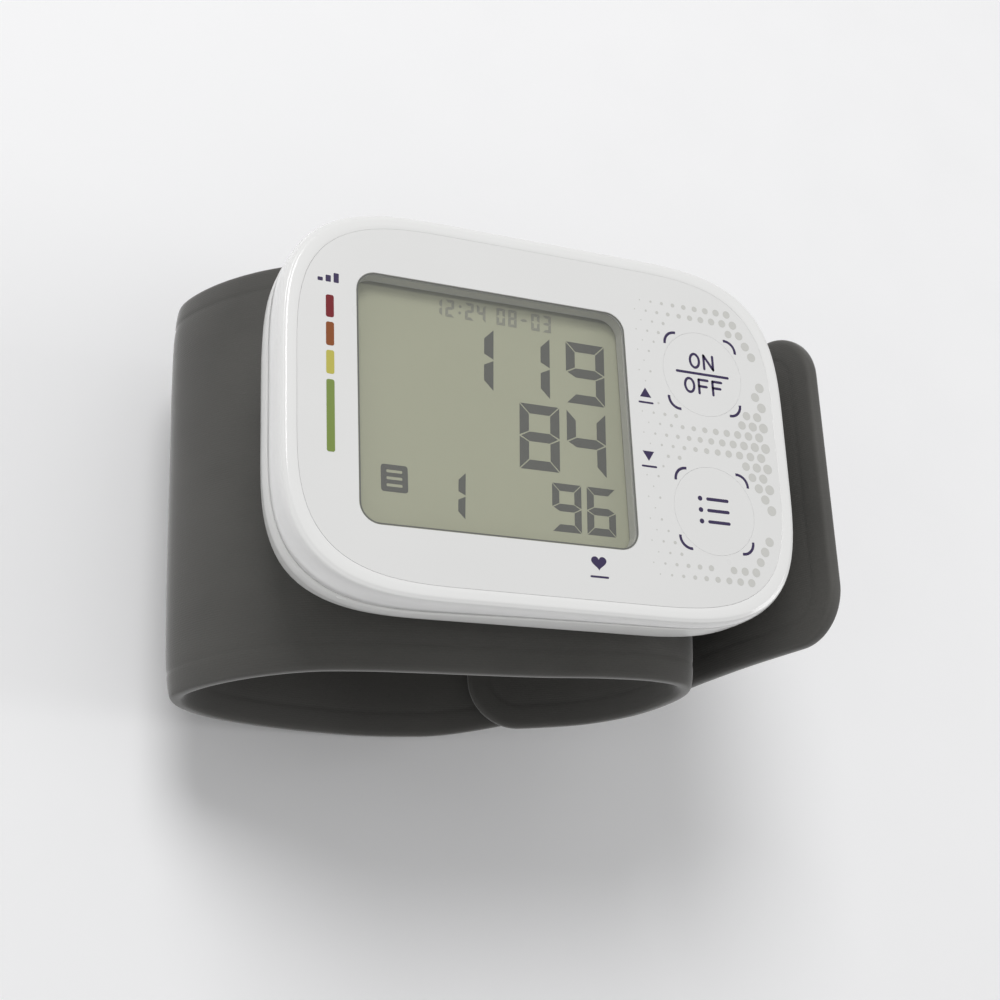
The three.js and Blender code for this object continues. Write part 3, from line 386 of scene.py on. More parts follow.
def finish_mesh(mesh, sharp=MESH_SHARP):
    """Merges doubled points, faces the surface outwards and smooths all but sharp edges."""
    work = bmesh.new()
    work.from_mesh(mesh)
    bmesh.ops.remove_doubles(work, verts=work.verts, dist=MERGE_DISTANCE * MM)
    bmesh.ops.dissolve_degenerate(work, edges=work.edges, dist=DEGENERATE_LENGTH * MM)
    bmesh.ops.recalc_face_normals(work, faces=work.faces)
    work.to_mesh(mesh)
    work.free()
    return smooth_mesh(mesh, sharp)


def mesh_from(work, name):
    """A mesh of its own from a bmesh, which is freed."""
    mesh = bpy.data.meshes.new(name)
    work.to_mesh(mesh)
    work.free()
    return mesh


def points_mesh(name, points, faces):
    """A mesh from points in millimetres."""
    mesh = bpy.data.meshes.new(name)
    mesh.from_pydata([tuple(value * MM for value in point) for point in points], [], faces)
    return mesh


def ring_faces(rings, count, first=0, closed=False):
    """Quads between rings of equal count, whose points follow each other from a first one."""
    faces = []
    for r in range(rings if closed else rings - 1):
        a, b = first + r * count, first + (r + 1) % rings * count
        for i in range(count):
            j = (i + 1) % count
            faces.append((a + i, a + j, b + j, b + i))
    return faces


def grid_mesh(name, rows, closed_rows=False):
    """A surface through rows of points in millimetres: each row is a ring of equal count."""
    points = [point for row in rows for point in row]
    return points_mesh(name, points, ring_faces(len(rows), len(rows[0]), closed=closed_rows))


def final_mesh(piece):
    """A mesh of what a piece comes to with its modifiers or its curve's depth."""
    shape = piece.evaluated_get(bpy.context.evaluated_depsgraph_get())
    return bpy.data.meshes.new_from_object(shape)


def plate(name, loops, z0, z1, material, edge=0.0):
    """A flat plate through closed outlines in millimetres: the inner ones are its holes."""
    curve = bpy.data.curves.new(name, "CURVE")
    curve.dimensions = "2D"
    curve.fill_mode = "BOTH"
    curve.extrude = ((z1 - z0) / 2 - edge) * MM
    curve.bevel_depth = edge * MM
    curve.bevel_resolution = 2
    curve.offset = -edge * MM
    for loop in loops:
        spline = curve.splines.new("POLY")
        spline.points.add(len(loop) - 1)
        for point, (x, y) in zip(spline.points, loop):
            point.co = (x * MM, y * MM, 0, 1)
        spline.use_cyclic_u = True
    source = add_object(name + "_outline", curve)
    bpy.context.view_layer.update()
    mesh = final_mesh(source)
    bpy.data.objects.remove(source)
    bpy.data.curves.remove(curve)
    mesh.transform(Matrix.Translation((0, 0, (z0 + z1) / 2 * MM)))
    mesh.materials.clear()
    return new_object(name, finish_mesh(mesh, PLATE_SHARP), material)


def polar(x, y, reach, angle):
    """The place at a reach and an angle from another."""
    return (x + reach * math.cos(angle), y + reach * math.sin(angle))


def ellipse(x, y, half_x, half_y, steps=32):
    turns = [2 * math.pi * i / steps for i in range(steps)]
    return [(x + half_x * math.cos(turn), y + half_y * math.sin(turn)) for turn in turns]


def circle(x, y, radius, steps=72):
    return ellipse(x, y, radius, radius, steps)


def rounded_rectangle(x, y, length, breadth, radius, steps=10):
    points = []
    for sign_x, sign_y, start in ((1, 1, 0), (-1, 1, 90), (-1, -1, 180), (1, -1, 270)):
        middle_x = x + sign_x * (length / 2 - radius)
        middle_y = y + sign_y * (breadth / 2 - radius)
        points += [polar(middle_x, middle_y, radius, math.radians(start + 90 * i / steps))
                   for i in range(steps + 1)]
    return points


def capsule(x0, y0, x1, y1, width, steps=8):
    """A stroke with round ends, from one point to another."""
    angle = math.atan2(y1 - y0, x1 - x0)
    return [polar(x, y, width / 2, angle + turn + math.pi * i / steps)
            for x, y, turn in ((x1, y1, -math.pi / 2), (x0, y0, math.pi / 2))
            for i in range(steps + 1)]


def arc_stroke(x, y, radius, start, end, width, steps=12):
    """A stroke along an arc, between two angles in degrees."""
    return [polar(x, y, radius + side * width / 2, math.radians(start + (end - start) * i / steps))
            for side, order in ((1, range(steps + 1)), (-1, range(steps, -1, -1))) for i in order]


# Case outline and profile
def even_corner_angles():
    """Angles that space a superelliptic corner's points evenly."""
    angles = np.linspace(0, math.pi / 2, 4001)
    power = 2 / CORNER_EXPONENT
    x = half_length * CORNER_LENGTH_SHARE * np.cos(angles).clip(0) ** power
    y = half_breadth * CORNER_BREADTH_SHARE * np.sin(angles) ** power
    run = np.concatenate([[0], np.cumsum(np.hypot(np.diff(x), np.diff(y)))])
    return np.interp(np.linspace(0, run[-1], CORNER_STEPS + 1), run, angles)


CORNER_ANGLES = even_corner_angles()


def case_outline(inset):
    """The case's outline drawn in by an inset, as an array of points."""
    half_x, half_y = half_length - inset, half_breadth - inset
    corner_x, corner_y = half_x * CORNER_LENGTH_SHARE, half_y * CORNER_BREADTH_SHARE
    power = 2 / CORNER_EXPONENT
    quarter = [
        (half_x - corner_x + corner_x * max(math.cos(a), 0) ** power,
         half_y - corner_y + corner_y * max(math.sin(a), 0) ** power) for a in CORNER_ANGLES
    ]
    points = []
    for sign_x, sign_y in ((1, 1), (-1, 1), (-1, -1), (1, -1)):
        part = [(sign_x * x, sign_y * y) for x, y in quarter]
        if sign_x * sign_y < 0:
            part.reverse()
        if points:
            points += between(points[-1], part[0])
        points += part
    points += between(points[-1], points[0])
    return np.array(points)


def between(start, end):
    """Points inside a straight run of the outline."""
    steps = LONG_STEPS if abs(end[0] - start[0]) > abs(end[1] - start[1]) else SHORT_STEPS
    return [tuple(start[k] + (end[k] - start[k]) * i / steps for k in (0, 1))
            for i in range(1, steps)]


def wedge(x):
    """The pod's depth at a place along the case, as a share of its depth at the left end."""
    return 1 - WEDGE_SHARE * (x / half_length + 1) / 2


def case_ring(inset, depth):
    """The case's outline drawn in by an inset, at a depth below the face."""
    points = case_outline(inset)
    deeper = max(depth - SHOULDER_DEPTH, 0)
    z = face_z - (depth - deeper + deeper * wedge(points[:, 0]))
    return np.column_stack([points, z])


def smooth_line(points, steps):
    """A smooth line through points, by uniform Catmull-Rom spans."""
    p = np.array(points, float)
    p = np.vstack([2 * p[0] - p[1], p, 2 * p[-1] - p[-2]])
    line = []
    for i in range(1, len(p) - 2):
        for t in np.arange(steps) / steps:
            a, b, c, d = p[i - 1], p[i], p[i + 1], p[i + 2]
            line.append(0.5 * (2 * b + (c - a) * t + (2 * a - 5 * b + 4 * c - d) * t ** 2
                               + (3 * b - 3 * c + d - a) * t ** 3))
    line.append(p[-2])
    return np.array(line)


rim_rows = [(inset * RIM_WIDTH, depth * SHOULDER_DEPTH) for inset, depth in RIM_SHARES]
pod_rows = [(inset * POD_INSET, SHOULDER_DEPTH + depth * POD_DEPTH) for inset, depth in POD_SHARES]
profile = smooth_line(rim_rows + pod_rows, PROFILE_STEPS).clip(0)
skin = np.array([case_ring(inset, depth) for inset, depth in profile])
RIM_ROW = (len(RIM_SHARES) - 2) * PROFILE_STEPS


def skin_at(row):
    """The ring of the outer surface at one row number per column."""
    low = np.clip(np.floor(row).astype(int), 0, len(skin) - 2)
    share = (row - low)[:, None]
    columns = np.arange(skin.shape[1])
    return skin[low, columns] * (1 - share) + skin[low + 1, columns] * share


def crossing(limit):
    """Row number per column where the outer surface meets a height that depends on x."""
    above = skin[:, :, 2] - limit(skin[:, :, 0])
    rows = np.full(skin.shape[1], len(skin) - 1.0)
    for i in range(skin.shape[1]):
        under = np.nonzero(above[:, i] <= 0)[0]
        if len(under):
            k = max(under[0], 1)
            rows[i] = k - 1 + above[k - 1, i] / (above[k - 1, i] - above[k, i])
    return rows


def parting_height(x):
    """Height of the swept parting line."""
    t = np.linspace(0, 1, 200)
    near, far = (1 - t) ** 3, t ** 3
    middle = 3 * (1 - t) * t
    left, right = face_z - PARTING_LEFT, face_z - PARTING_RIGHT
    line_x = half_length * (far - near - SWEEP_SHARE * middle)
    line_z = left * (near + middle * (1 - t)) + right * (far + middle * t)
    return np.interp(x, line_x, line_z)


# Strap route
def strap_route():
    """Places along the strap's middle line, and the distances of its parts' ends."""
    def places(shares, outward=0.0, lift=0.0):
        return [(x * half_length + outward, lowest_line + z * LOOP_RISE + lift) for x, z in shares]
    parts = [
        places(LAP_SHARES, 0, STRAP_THICKNESS + LAP_GAP), places(CUSP_SHARES), places(FRONT_SHARES),
        places(BEND_SHARES), places(LEAF_SHARES), places(LAP_SHARES), places(HEEL_SHARES),
        places(TAIL_SHARES, STRAP_THICKNESS / 2),
    ]
    points = np.array([place for part in parts for place in part])
    padded = np.vstack([2 * points[0] - points[1], points, 2 * points[-1] - points[-2]])
    steps = ROUTE_STEPS
    line = []
    for i in range(1, len(padded) - 2):
        a, b, c, d = padded[i - 1:i + 3]
        gaps = [math.sqrt(np.linalg.norm(q - p)) for p, q in ((a, b), (b, c), (c, d))]
        start = ((b - a) / gaps[0] - (c - a) / (gaps[0] + gaps[1]) + (c - b) / gaps[1]) * gaps[1]
        end = ((c - b) / gaps[1] - (d - b) / (gaps[1] + gaps[2]) + (d - c) / gaps[2]) * gaps[1]
        for t in np.arange(steps) / steps:
            line.append(b + start * t + (3 * (c - b) - 2 * start - end) * t ** 2
                        + (2 * (b - c) + start + end) * t ** 3)
    line.append(padded[-2])
    line = np.array(line)
    run = np.concatenate([[0], np.cumsum(np.linalg.norm(np.diff(line, axis=0), axis=1))])
    counts = np.cumsum([len(part) for part in parts])
    return line, run, [run[(count - 1) * steps] for count in counts]


ROUTE_STEPS = 40
SLOPE_REACH = 0.4
SADDLE_START = 2  # points after the strap's cusp
SADDLE_END = 3.0
SADDLE_STEPS = 90
route_line, route_run, part_ends = strap_route()
strap_length = route_run[-1]


def route_at(distance):
    return [np.interp(distance, route_run, route_line[:, k]) for k in (0, 1)]


def strap_at(distance):
    """Middle line's place and outward normal at distances along the strap."""
    x, z = route_at(distance)
    ahead = route_at(np.minimum(distance + SLOPE_REACH, strap_length))
    behind = route_at(np.maximum(distance - SLOPE_REACH, 0))
    step = [ahead[k] - behind[k] for k in (0, 1)]
    length = np.hypot(*step)
    return x, z, step[1] / length, -step[0] / length


def saddle_line():
    """The outside of the band under the case, from its highest point to the left."""
    start = route_run[(len(LAP_SHARES) + len(CUSP_SHARES) + SADDLE_START) * ROUTE_STEPS]
    distances = np.linspace(start, part_ends[3] - SADDLE_END, SADDLE_STEPS)
    x, z, normal_x, normal_z = strap_at(distances)
    lift = STRAP_THICKNESS / 2 + CLEARANCE
    return (x + normal_x * lift)[::-1], (z + normal_z * lift)[::-1]


saddle_x, saddle_z = saddle_line()


def underside(x):
    """Height of the case's underside: the saddle, or the pod's bottom where that is higher."""
    bottom = face_z - SHOULDER_DEPTH - POD_DEPTH * wedge(x)
    return np.maximum(np.interp(x, saddle_x, saddle_z, left=0, right=saddle_z[-1]), bottom)


# Case shells
EDGE_ROUNDING = 0.12
POCKET_EDGE = [(0, 0.08), (0.015, 0.02), (0.05, 0)]
POCKET_CLEAR = 0.2
FIRST_RIM_ROW = 6
FLANK_SHARES = (0.12, 0.25, 0.4, 0.6, 0.8)
REAR_STEPS = 26
BASE_SHARES = (0.012, 0.03, 0.12, 0.3, 0.5, 0.7, 0.85, 1.0)
LID_SHARES = (1.0, 0.6, 0.25)
MIDDLE_LENGTH_SHARE = 0.45  # the rings close on a middle line, shorter than them by this


def inward(ring, amount, rise=0.0):
    """A ring moved towards the middle of the case."""
    moved = ring.copy()
    moved[:, :2] += case_outline(amount) - case_outline(0)
    moved[:, 2] += rise
    return moved


def front_shell():
    """The upper shell: pocket, rim, shoulder, flank and parting edge, and the ceiling inside."""
    part_row = crossing(lambda x: parting_height(x) + PARTING_GAP / 2)
    pocket = RIM_WIDTH - PANEL_GAP / 2
    rows = [case_ring(RIM_WIDTH + CASE_WALL, POCKET_DEPTH), case_ring(pocket, POCKET_DEPTH)]
    rows += [case_ring(pocket - inset, depth) for inset, depth in POCKET_EDGE]
    rows += [case_ring(inset, depth) for inset, depth in profile[FIRST_RIM_ROW:RIM_ROW + 1]
             if inset < pocket - POCKET_CLEAR]
    rim_row = np.full(len(part_row), float(RIM_ROW))
    rows += [skin_at(rim_row + (part_row - rim_row) * share) for share in FLANK_SHARES]
    edge = skin_at(part_row)
    rows += [inward(edge, 0, EDGE_ROUNDING), inward(edge, EDGE_ROUNDING / 3, EDGE_ROUNDING / 4)]
    rows += [inward(edge, EDGE_ROUNDING), inward(edge, CASE_WALL)]
    rows += [case_ring(CASE_WALL, CEILING_DEPTH), case_ring(RIM_WIDTH + CASE_WALL, CEILING_DEPTH)]
    return grid_mesh("front_shell", rows, closed_rows=True)


def drawn_ring(ring, share, height):
    """A ring shrunk by a share towards the case's middle line, at a height that depends on x."""
    drawn = ring.copy()
    drawn[:, 0] *= 1 - share * MIDDLE_LENGTH_SHARE
    drawn[:, 1] *= 1 - share
    drawn[:, 2] = height(drawn[:, 0])
    return drawn


def rear_solid(wall=0.0, floor=0.0, top_gap=PARTING_GAP / 2):
    """The lower shell as a closed body, drawn in by a wall and raised by a floor."""
    def lid_height(x):
        return parting_height(x) - top_gap

    def base_height(x):
        return underside(x) + floor

    part_row, base_row = crossing(lid_height), crossing(base_height)
    top = inward(skin_at(part_row), wall)
    rows = [inward(top, EDGE_ROUNDING), inward(top, EDGE_ROUNDING / 3, -EDGE_ROUNDING / 4),
            inward(top, 0, -EDGE_ROUNDING)]
    for i in range(1, REAR_STEPS + 1):
        rows.append(inward(skin_at(part_row + (base_row - part_row) * i / REAR_STEPS), wall))
    rows += [drawn_ring(rows[-1], share, base_height) for share in BASE_SHARES]
    lid = [drawn_ring(rows[0], share, lid_height) for share in LID_SHARES]
    return grid_mesh("rear_solid", lid + rows)


def boolean(piece, other, operation):
    modifier = piece.modifiers.new("cut", "BOOLEAN")
    modifier.operation = operation
    modifier.object = other
    modifier.solver = "EXACT"
    mesh = final_mesh(piece)
    piece.modifiers.clear()
    old, piece.data = piece.data, mesh
    bpy.data.meshes.remove(old)


def box_piece(name, low, high, material):
    """A box between two corners."""
    work = bmesh.new()
    bmesh.ops.create_cube(work, size=1.0)
    for vert in work.verts:
        vert.co = Vector((low[k] + (vert.co[k] + 0.5) * (high[k] - low[k])) * MM for k in range(3))
    return new_object(name, finish_mesh(mesh_from(work, name)), material)


POST_STEPS = 40


def post_piece(x, y, z0, z1, radius):
    """An upright round post."""
    work = bmesh.new()
    bmesh.ops.create_cone(
        work, cap_ends=True, segments=POST_STEPS, radius1=radius * MM, radius2=radius * MM,
        depth=(z1 - z0) * MM)
    bmesh.ops.translate(work, verts=work.verts, vec=Vector((x, y, (z0 + z1) / 2)) * MM)
    return new_object("post", mesh_from(work, "post"), white_gloss)


def show(piece, body, slot, *replaced):
    """Lets a piece ride its body and hides the CAD nodes it stands for. Its slot is not used."""
    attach(piece, body)
    if replaced:
        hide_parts(*replaced)
    return piece


def remove(*pieces):
    for piece in pieces:
        bpy.data.objects.remove(piece)


HOLLOW_RISE = 2.0
DOOR_REACH = 2.0

upper = new_object("front_shell", finish_mesh(front_shell()), white_gloss)
show(upper, "root", "white_gloss", "front_cover")

lower = new_object("rear_shell", finish_mesh(rear_solid()), rear_gloss_and_shade)
hollow = new_object(
    "hollow", finish_mesh(rear_solid(CASE_WALL, FLOOR_WALL, -HOLLOW_RISE)), white_gloss)
boolean(lower, hollow, "DIFFERENCE")

cell_x = [-half_length + CELL_MARGIN + CELL_RADIUS + i * CELL_PITCH for i in (0, 1)]
cell_z = face_z - CELL_BASE_DEPTH + CELL_RADIUS
door_low = (cell_x[0] - CELL_RADIUS - CLEARANCE, CELL_LENGTH / 2 - DOOR_REACH,
            cell_z - CELL_RADIUS - CLEARANCE)
door_high = (cell_x[1] + CELL_RADIUS + CLEARANCE, half_breadth + DOOR_REACH,
             cell_z + CELL_RADIUS + CLEARANCE)
doorway = box_piece("doorway", door_low, door_high, white_gloss)
door_cut = box_piece(
    "door_cut", (door_low[0] + DOOR_GAP, door_low[1], door_low[2] + DOOR_GAP),
    (door_high[0] - DOOR_GAP, door_high[1], door_high[2] - DOOR_GAP), white_gloss)
door = new_object("door", lower.data.copy(), rear_gloss_and_shade)
boolean(door, door_cut, "INTERSECT")
boolean(lower, doorway, "DIFFERENCE")
for x, y in SCREW_PLACES:
    bore = post_piece(x, y, 0, face_z - HEAD_SEAT_DEPTH, HEAD_BORE_RADIUS)
    boolean(lower, bore, "DIFFERENCE")
    remove(bore)
remove(doorway, door_cut, hollow)
finish_mesh(lower.data)
finish_mesh(door.data)
show(lower, "root", "white_gloss", "rear_cover")
show(door, "battery_door", "white_gloss", "battery_door")

# Screws
SCREW_HEAD_RADIUS = 1.5
SCREW_RADIUS = 0.95
SCREW_HEAD_HEIGHT = 1.2
SCREW_TOP_DEPTH = 2.6
SCREW_STEPS = 32
# Radius and height along the head's outline. The axis is left open, and the ends are filled
HEAD_PROFILE = [(0.05, 0), (0.8, 0.02), (1.2, 0.14), (1.42, 0.36), (SCREW_HEAD_RADIUS, 0.7)]
HEAD_EDGE = 0.05
THREAD_PITCH = 0.5
THREAD_START = 0.1
THREAD_DEPTH = 0.18
THREAD_END = 1.0
TIP_HEIGHT = 0.6
TIP_DEPTH = 0.2
RECESS_LENGTH = 1.7
RECESS_WIDTH = 0.36
RECESS_DEPTH = 0.7
OVERRUN = 1.0
screw_base = face_z - HEAD_SEAT_DEPTH - CLEARANCE - SCREW_HEAD_HEIGHT
screw_top = face_z - SCREW_TOP_DEPTH


def screw_mesh(x, y):
    """A pan head below a threaded shank."""
    rise, length = SCREW_HEAD_HEIGHT, screw_top - screw_base
    outline = HEAD_PROFILE + [
        (SCREW_HEAD_RADIUS, rise - HEAD_EDGE), (SCREW_HEAD_RADIUS - HEAD_EDGE, rise),
        (SCREW_RADIUS, rise)]
    for i in range(int((length - rise - THREAD_END) / THREAD_PITCH)):
        height = rise + THREAD_START + i * THREAD_PITCH
        outline += [(SCREW_RADIUS - THREAD_DEPTH, height), (SCREW_RADIUS, height + THREAD_PITCH / 2)]
    outline += [(SCREW_RADIUS - TIP_DEPTH, length - TIP_HEIGHT), (HEAD_PROFILE[0][0], length)]
    mesh = grid_mesh("case_screw", [
        [(*point, screw_base + height) for point in circle(x, y, radius, SCREW_STEPS)]
        for radius, height in outline])
    work = bmesh.new()
    work.from_mesh(mesh)
    bmesh.ops.holes_fill(work, edges=work.edges)
    work.to_mesh(mesh)
    work.free()
    return mesh


for i, (x, y) in enumerate(SCREW_PLACES):
    screw = new_object(f"screw_{i + 1}", finish_mesh(screw_mesh(x, y)), steel)
    recess = (RECESS_LENGTH / 2, RECESS_WIDTH / 2)
    for half_x, half_y in (recess, recess[::-1]):
        slit = box_piece("slit", (x - half_x, y - half_y, screw_base - OVERRUN),
                         (x + half_x, y + half_y, screw_base + RECESS_DEPTH), steel)
        boolean(screw, slit, "DIFFERENCE")
        remove(slit)
    finish_mesh(screw.data)
    show(screw, "root", "steel", f"case_screw_{i + 1}")

# Face
PLATE_EDGE = 0.015
FRAME_MARGIN = 1.0
WINDOW_LIP = 0.22
WALL_DROP = 0.03
WALL_EDGE = 0.04
PANE_GAP = 0.05
PANE_DROP = 0.06
PANE_EDGE = 0.05
PANE_LINE_INSET = 0.07
PANE_LINE_WIDTH = 0.2
PANE_LINE_BASE = 0.065
PANE_LINE_TOP = 0.045
KEY_DEPTH = 1.6


def window_shape(grow):
    """The window's outline, grown by a margin."""
    return rounded_rectangle(
        WINDOW_X, 0, WINDOW_LENGTH + grow * 2, WINDOW_BREADTH + grow * 2, WINDOW_CORNER + grow)


def layer(name, loops, base, top, material, edge, slot, *replaced, body="root"):
    """A plate between two depths below the face, on a body."""
    piece = plate(name, loops, face_z - base, face_z - top, material, edge)
    return show(piece, body, slot, *replaced)


key_places = [("start_key", START_KEY_Y), ("memory_key", MEMORY_KEY_Y)]
panel_shapes = [case_outline(RIM_WIDTH + PANEL_GAP / 2).tolist(), window_shape(0)]
panel_shapes += [circle(KEY_X, y, KEY_RADIUS + KEY_GAP) for _, y in key_places]
layer("face_overlay", panel_shapes, PANEL_THICKNESS, 0, panel_gloss, PLATE_EDGE,
      "panel_gloss", "face_panel")
layer("window_wall", [window_shape(FRAME_MARGIN), window_shape(-WINDOW_LIP)],
      CEILING_DEPTH, PANEL_THICKNESS + WALL_DROP, wall_grey, WALL_EDGE, "grey_plastic")
layer("window_pane", [window_shape(-PANE_GAP)], PANEL_THICKNESS, PANE_DROP, clear_window,
      PANE_EDGE, "clear_window", "display_window")
# A thin dark ring on the pane's top round its edge: a painted shadow of the window's recess
shadow_line_shapes = [window_shape(-PANE_LINE_INSET), window_shape(-PANE_LINE_INSET - PANE_LINE_WIDTH)]
layer("pane_shadow_line", shadow_line_shapes, PANE_LINE_BASE, PANE_LINE_TOP, painted_shadow_grey, 0.0, "grey_plastic")
for name, y in key_places:
    layer(f"{name}_cap", [circle(KEY_X, y, KEY_RADIUS)], KEY_DEPTH, 0, key_gloss, PLATE_EDGE,
          "key_gloss", name, body=name)


# Prints
def print_plate(name, loops, material=print_purple):
    """A thin plate let into the face, which stands a little above it."""
    top = face_z + PRINT_LIFT
    return plate(name, loops, top - PRINT_THICKNESS, top, material)


def print_on(name, loops, body="root", slot="panel_gloss", material=print_purple):
    return show(print_plate(name, loops, material), body, slot)


# Four short arcs round each key, one per corner: their reach from its middle, and their curve
ARC_REACH = 7.95
ARC_RADIUS = 1.8
ARC_WIDTH = 0.42
ARC_SPAN = 100
ARC_TURNS = (45, 135, 225, 315)
for name, y in key_places:
    print_on(f"{name}_arcs", [
        arc_stroke(*polar(KEY_X, y, ARC_REACH - ARC_RADIUS, math.radians(turn)), ARC_RADIUS,
                   turn - ARC_SPAN / 2, turn + ARC_SPAN / 2, ARC_WIDTH) for turn in ARC_TURNS])

BAR_X = -32.95
BAR_WIDTH = 1.15
BAR_CORNER = 0.3
BAR_SPANS = [(13.85, 10.5), (9.8, 6.3), (5.6, 2.15), (1.35, -9.0)]
for i, (top, bottom) in enumerate(BAR_SPANS):
    bar = rounded_rectangle(BAR_X, (top + bottom) / 2, BAR_WIDTH, top - bottom, BAR_CORNER, 4)
    print_on(f"scale_bar_{i + 1}", [bar], material=bar_inks[i])

# Letters as strokes in a cell one wide and one high, from its lower left corner
LETTER_STROKES = {
    "N": [((0, 0), (0, 1)), ((0, 1), (1, 0)), ((1, 0), (1, 1))],
    "F": [((0, 0), (0, 1)), ((0, 1), (1, 1)), ((0, 0.52), (0.85, 0.52))],
}
LETTER_WIDTH = 1.55
LETTER_HEIGHT = 2.2
LETTER_GAP = 0.85
LABEL_WEIGHT = 0.41
LABEL_DROP = 2.05
RULE_HALF = 4.4


def letter_loops(letter, left, y):
    """Outlines of one plain stroke letter. The letter O is a ring."""
    if letter == "O":
        return [ellipse(left + LETTER_WIDTH / 2, y, (LETTER_WIDTH + side * LABEL_WEIGHT) / 2,
                        (LETTER_HEIGHT + side * LABEL_WEIGHT) / 2) for side in (1, -1)]
    return [capsule(left + ax * LETTER_WIDTH, y + (ay - 0.5) * LETTER_HEIGHT,
                    left + bx * LETTER_WIDTH, y + (by - 0.5) * LETTER_HEIGHT, LABEL_WEIGHT, 4)
            for (ax, ay), (bx, by) in LETTER_STROKES[letter]]


def join(name, pieces):
    """Makes one object of several, with the first one's material."""
    work = bmesh.new()
    for piece in pieces:
        work.from_mesh(piece.data)
    material = pieces[0].data.materials[0]
    remove(*pieces)
    return new_object(name, smooth_mesh(mesh_from(work, name), MESH_SHARP), material)


def print_word(name, word, x, y, body):
    """Prints a word, centred at a place."""
    left = x - (len(word) * LETTER_WIDTH + (len(word) - 1) * LETTER_GAP) / 2
    pieces = []
    for i, letter in enumerate(word):
        loops = letter_loops(letter, left + i * (LETTER_WIDTH + LETTER_GAP), y)
        groups = [loops] if letter == "O" else [[loop] for loop in loops]
        pieces += [print_plate(f"{name}_{i}_{k}", group) for k, group in enumerate(groups)]
    return show(join(name, pieces), body, "key_gloss")


print_word("start_label_on", "ON", KEY_X, START_KEY_Y + LABEL_DROP, "start_key")
print_word("start_label_off", "OFF", KEY_X, START_KEY_Y - LABEL_DROP, "start_key")
rule = capsule(KEY_X - RULE_HALF, START_KEY_Y, KEY_X + RULE_HALF, START_KEY_Y, LABEL_WEIGHT)
print_on("start_label_rule", [rule], "start_key", "key_gloss")

# Memory key: a list of three lines
LIST_PITCH = 1.75
LIST_HALF = 2.3
LIST_INDENT = 1.3
LIST_WEIGHT = 0.5
LIST_DOT = 0.38
list_lines = []
for i in (-1, 0, 1):
    y = MEMORY_KEY_Y + i * LIST_PITCH
    list_lines.append(
        capsule(KEY_X - LIST_HALF + LIST_INDENT, y, KEY_X + LIST_HALF, y, LIST_WEIGHT))
    list_lines.append(circle(KEY_X - LIST_HALF, y, LIST_DOT, 20))
print_on("memory_label", list_lines, "memory_key", "key_gloss")

# Marks beside the readings: rising bars, an upper and a lower mark, and a pulse mark
SCALE_MARK = (-33.15, 16.6)
HIGH_MARK = (15.6, 5.6)
LOW_MARK = (15.35, -4.4)
PULSE_MARK = (6.05, -21.2)
RISING_PITCH = 1.15
RISING_WIDTH = 0.75
RISING_HEIGHTS = (0.55, 1.0, 1.45)
RISING_DROP = 0.8
RISING_CORNER = 0.12
MARK_HEIGHT = 1.5
MARK_HALF = 0.95
MARK_LIFT = 0.75
MARK_RULE_HALF = 1.1
MARK_RULE_DROP = 0.85
MARK_WEIGHT = 0.3
HEART_WIDTH = 0.075
HEART_HEIGHT = 0.07
HEART_LIFT = 0.6
HEART_STEPS = 48
HEART_RULE_HALF = 1.3
HEART_RULE_DROP = 1.5


def triangle(x, y, half, height):
    """A filled triangle, pointing up for a positive height."""
    return [(x - half, y - height / 2), (x + half, y - height / 2), (x, y + height / 2)]


def mark_rule(x, y, half):
    return capsule(x - half, y, x + half, y, MARK_WEIGHT)


def heart_point(x, y, turn):
    """A point of the heart's outline, by the usual heart curve."""
    across = 16 * math.sin(turn) ** 3
    up = (13 * math.cos(turn) - 5 * math.cos(2 * turn) - 2 * math.cos(3 * turn) - math.cos(4 * turn))
    return (x + HEART_WIDTH * across, y + HEART_LIFT + HEART_HEIGHT * up)


print_on("scale_mark", [
    rounded_rectangle(
        SCALE_MARK[0] + (i - 1) * RISING_PITCH, SCALE_MARK[1] - RISING_DROP + height / 2,
        RISING_WIDTH, height, RISING_CORNER, 3)
    for i, height in enumerate(RISING_HEIGHTS)])
for name, (x, y), height in (
        ("high_mark", HIGH_MARK, MARK_HEIGHT), ("low_mark", LOW_MARK, -MARK_HEIGHT)):
    print_on(name, [triangle(x, y + MARK_LIFT, MARK_HALF, height),
                    mark_rule(x, y - MARK_RULE_DROP, MARK_RULE_HALF)])
heart = [heart_point(*PULSE_MARK, 2 * math.pi * i / HEART_STEPS) for i in range(HEART_STEPS)]
heart_rule = mark_rule(PULSE_MARK[0], PULSE_MARK[1] - HEART_RULE_DROP, HEART_RULE_HALF)
print_on("pulse_mark", [heart, heart_rule])

# Pale dots at the face's right end, in even rows, larger towards the edge
DOT_PITCH = 1.9
DOT_ROWS = 13
DOT_COLUMNS = 12
DOT_START_X = 14.85
DOT_RADIUS = 0.78
DOT_GROWTH = 0.8
DOT_MARGIN = 0.75
DOT_KEY_GAP = 0.45
DOT_MARK_GAP = 2.0
outline_x, outline_y = np.abs(case_outline(RIM_WIDTH + DOT_MARGIN)).T


def on_face(x, y, radius):
    """Whether a dot lies inside the panel's right end and clear of the keys and marks."""
    ahead = outline_x > half_length / 3
    order = np.argsort(outline_y[ahead])
    limit = np.interp(abs(y), outline_y[ahead][order], outline_x[ahead][order])
    if x + radius > limit or abs(y) + radius > outline_y.max():
        return False
    clear = [((KEY_X, key_y), ARC_REACH + DOT_KEY_GAP) for _, key_y in key_places]
    clear += [(mark, DOT_MARK_GAP) for mark in (HIGH_MARK, LOW_MARK)]
    return all(math.hypot(x - place_x, y - place_y) > radius + gap
               for (place_x, place_y), gap in clear)


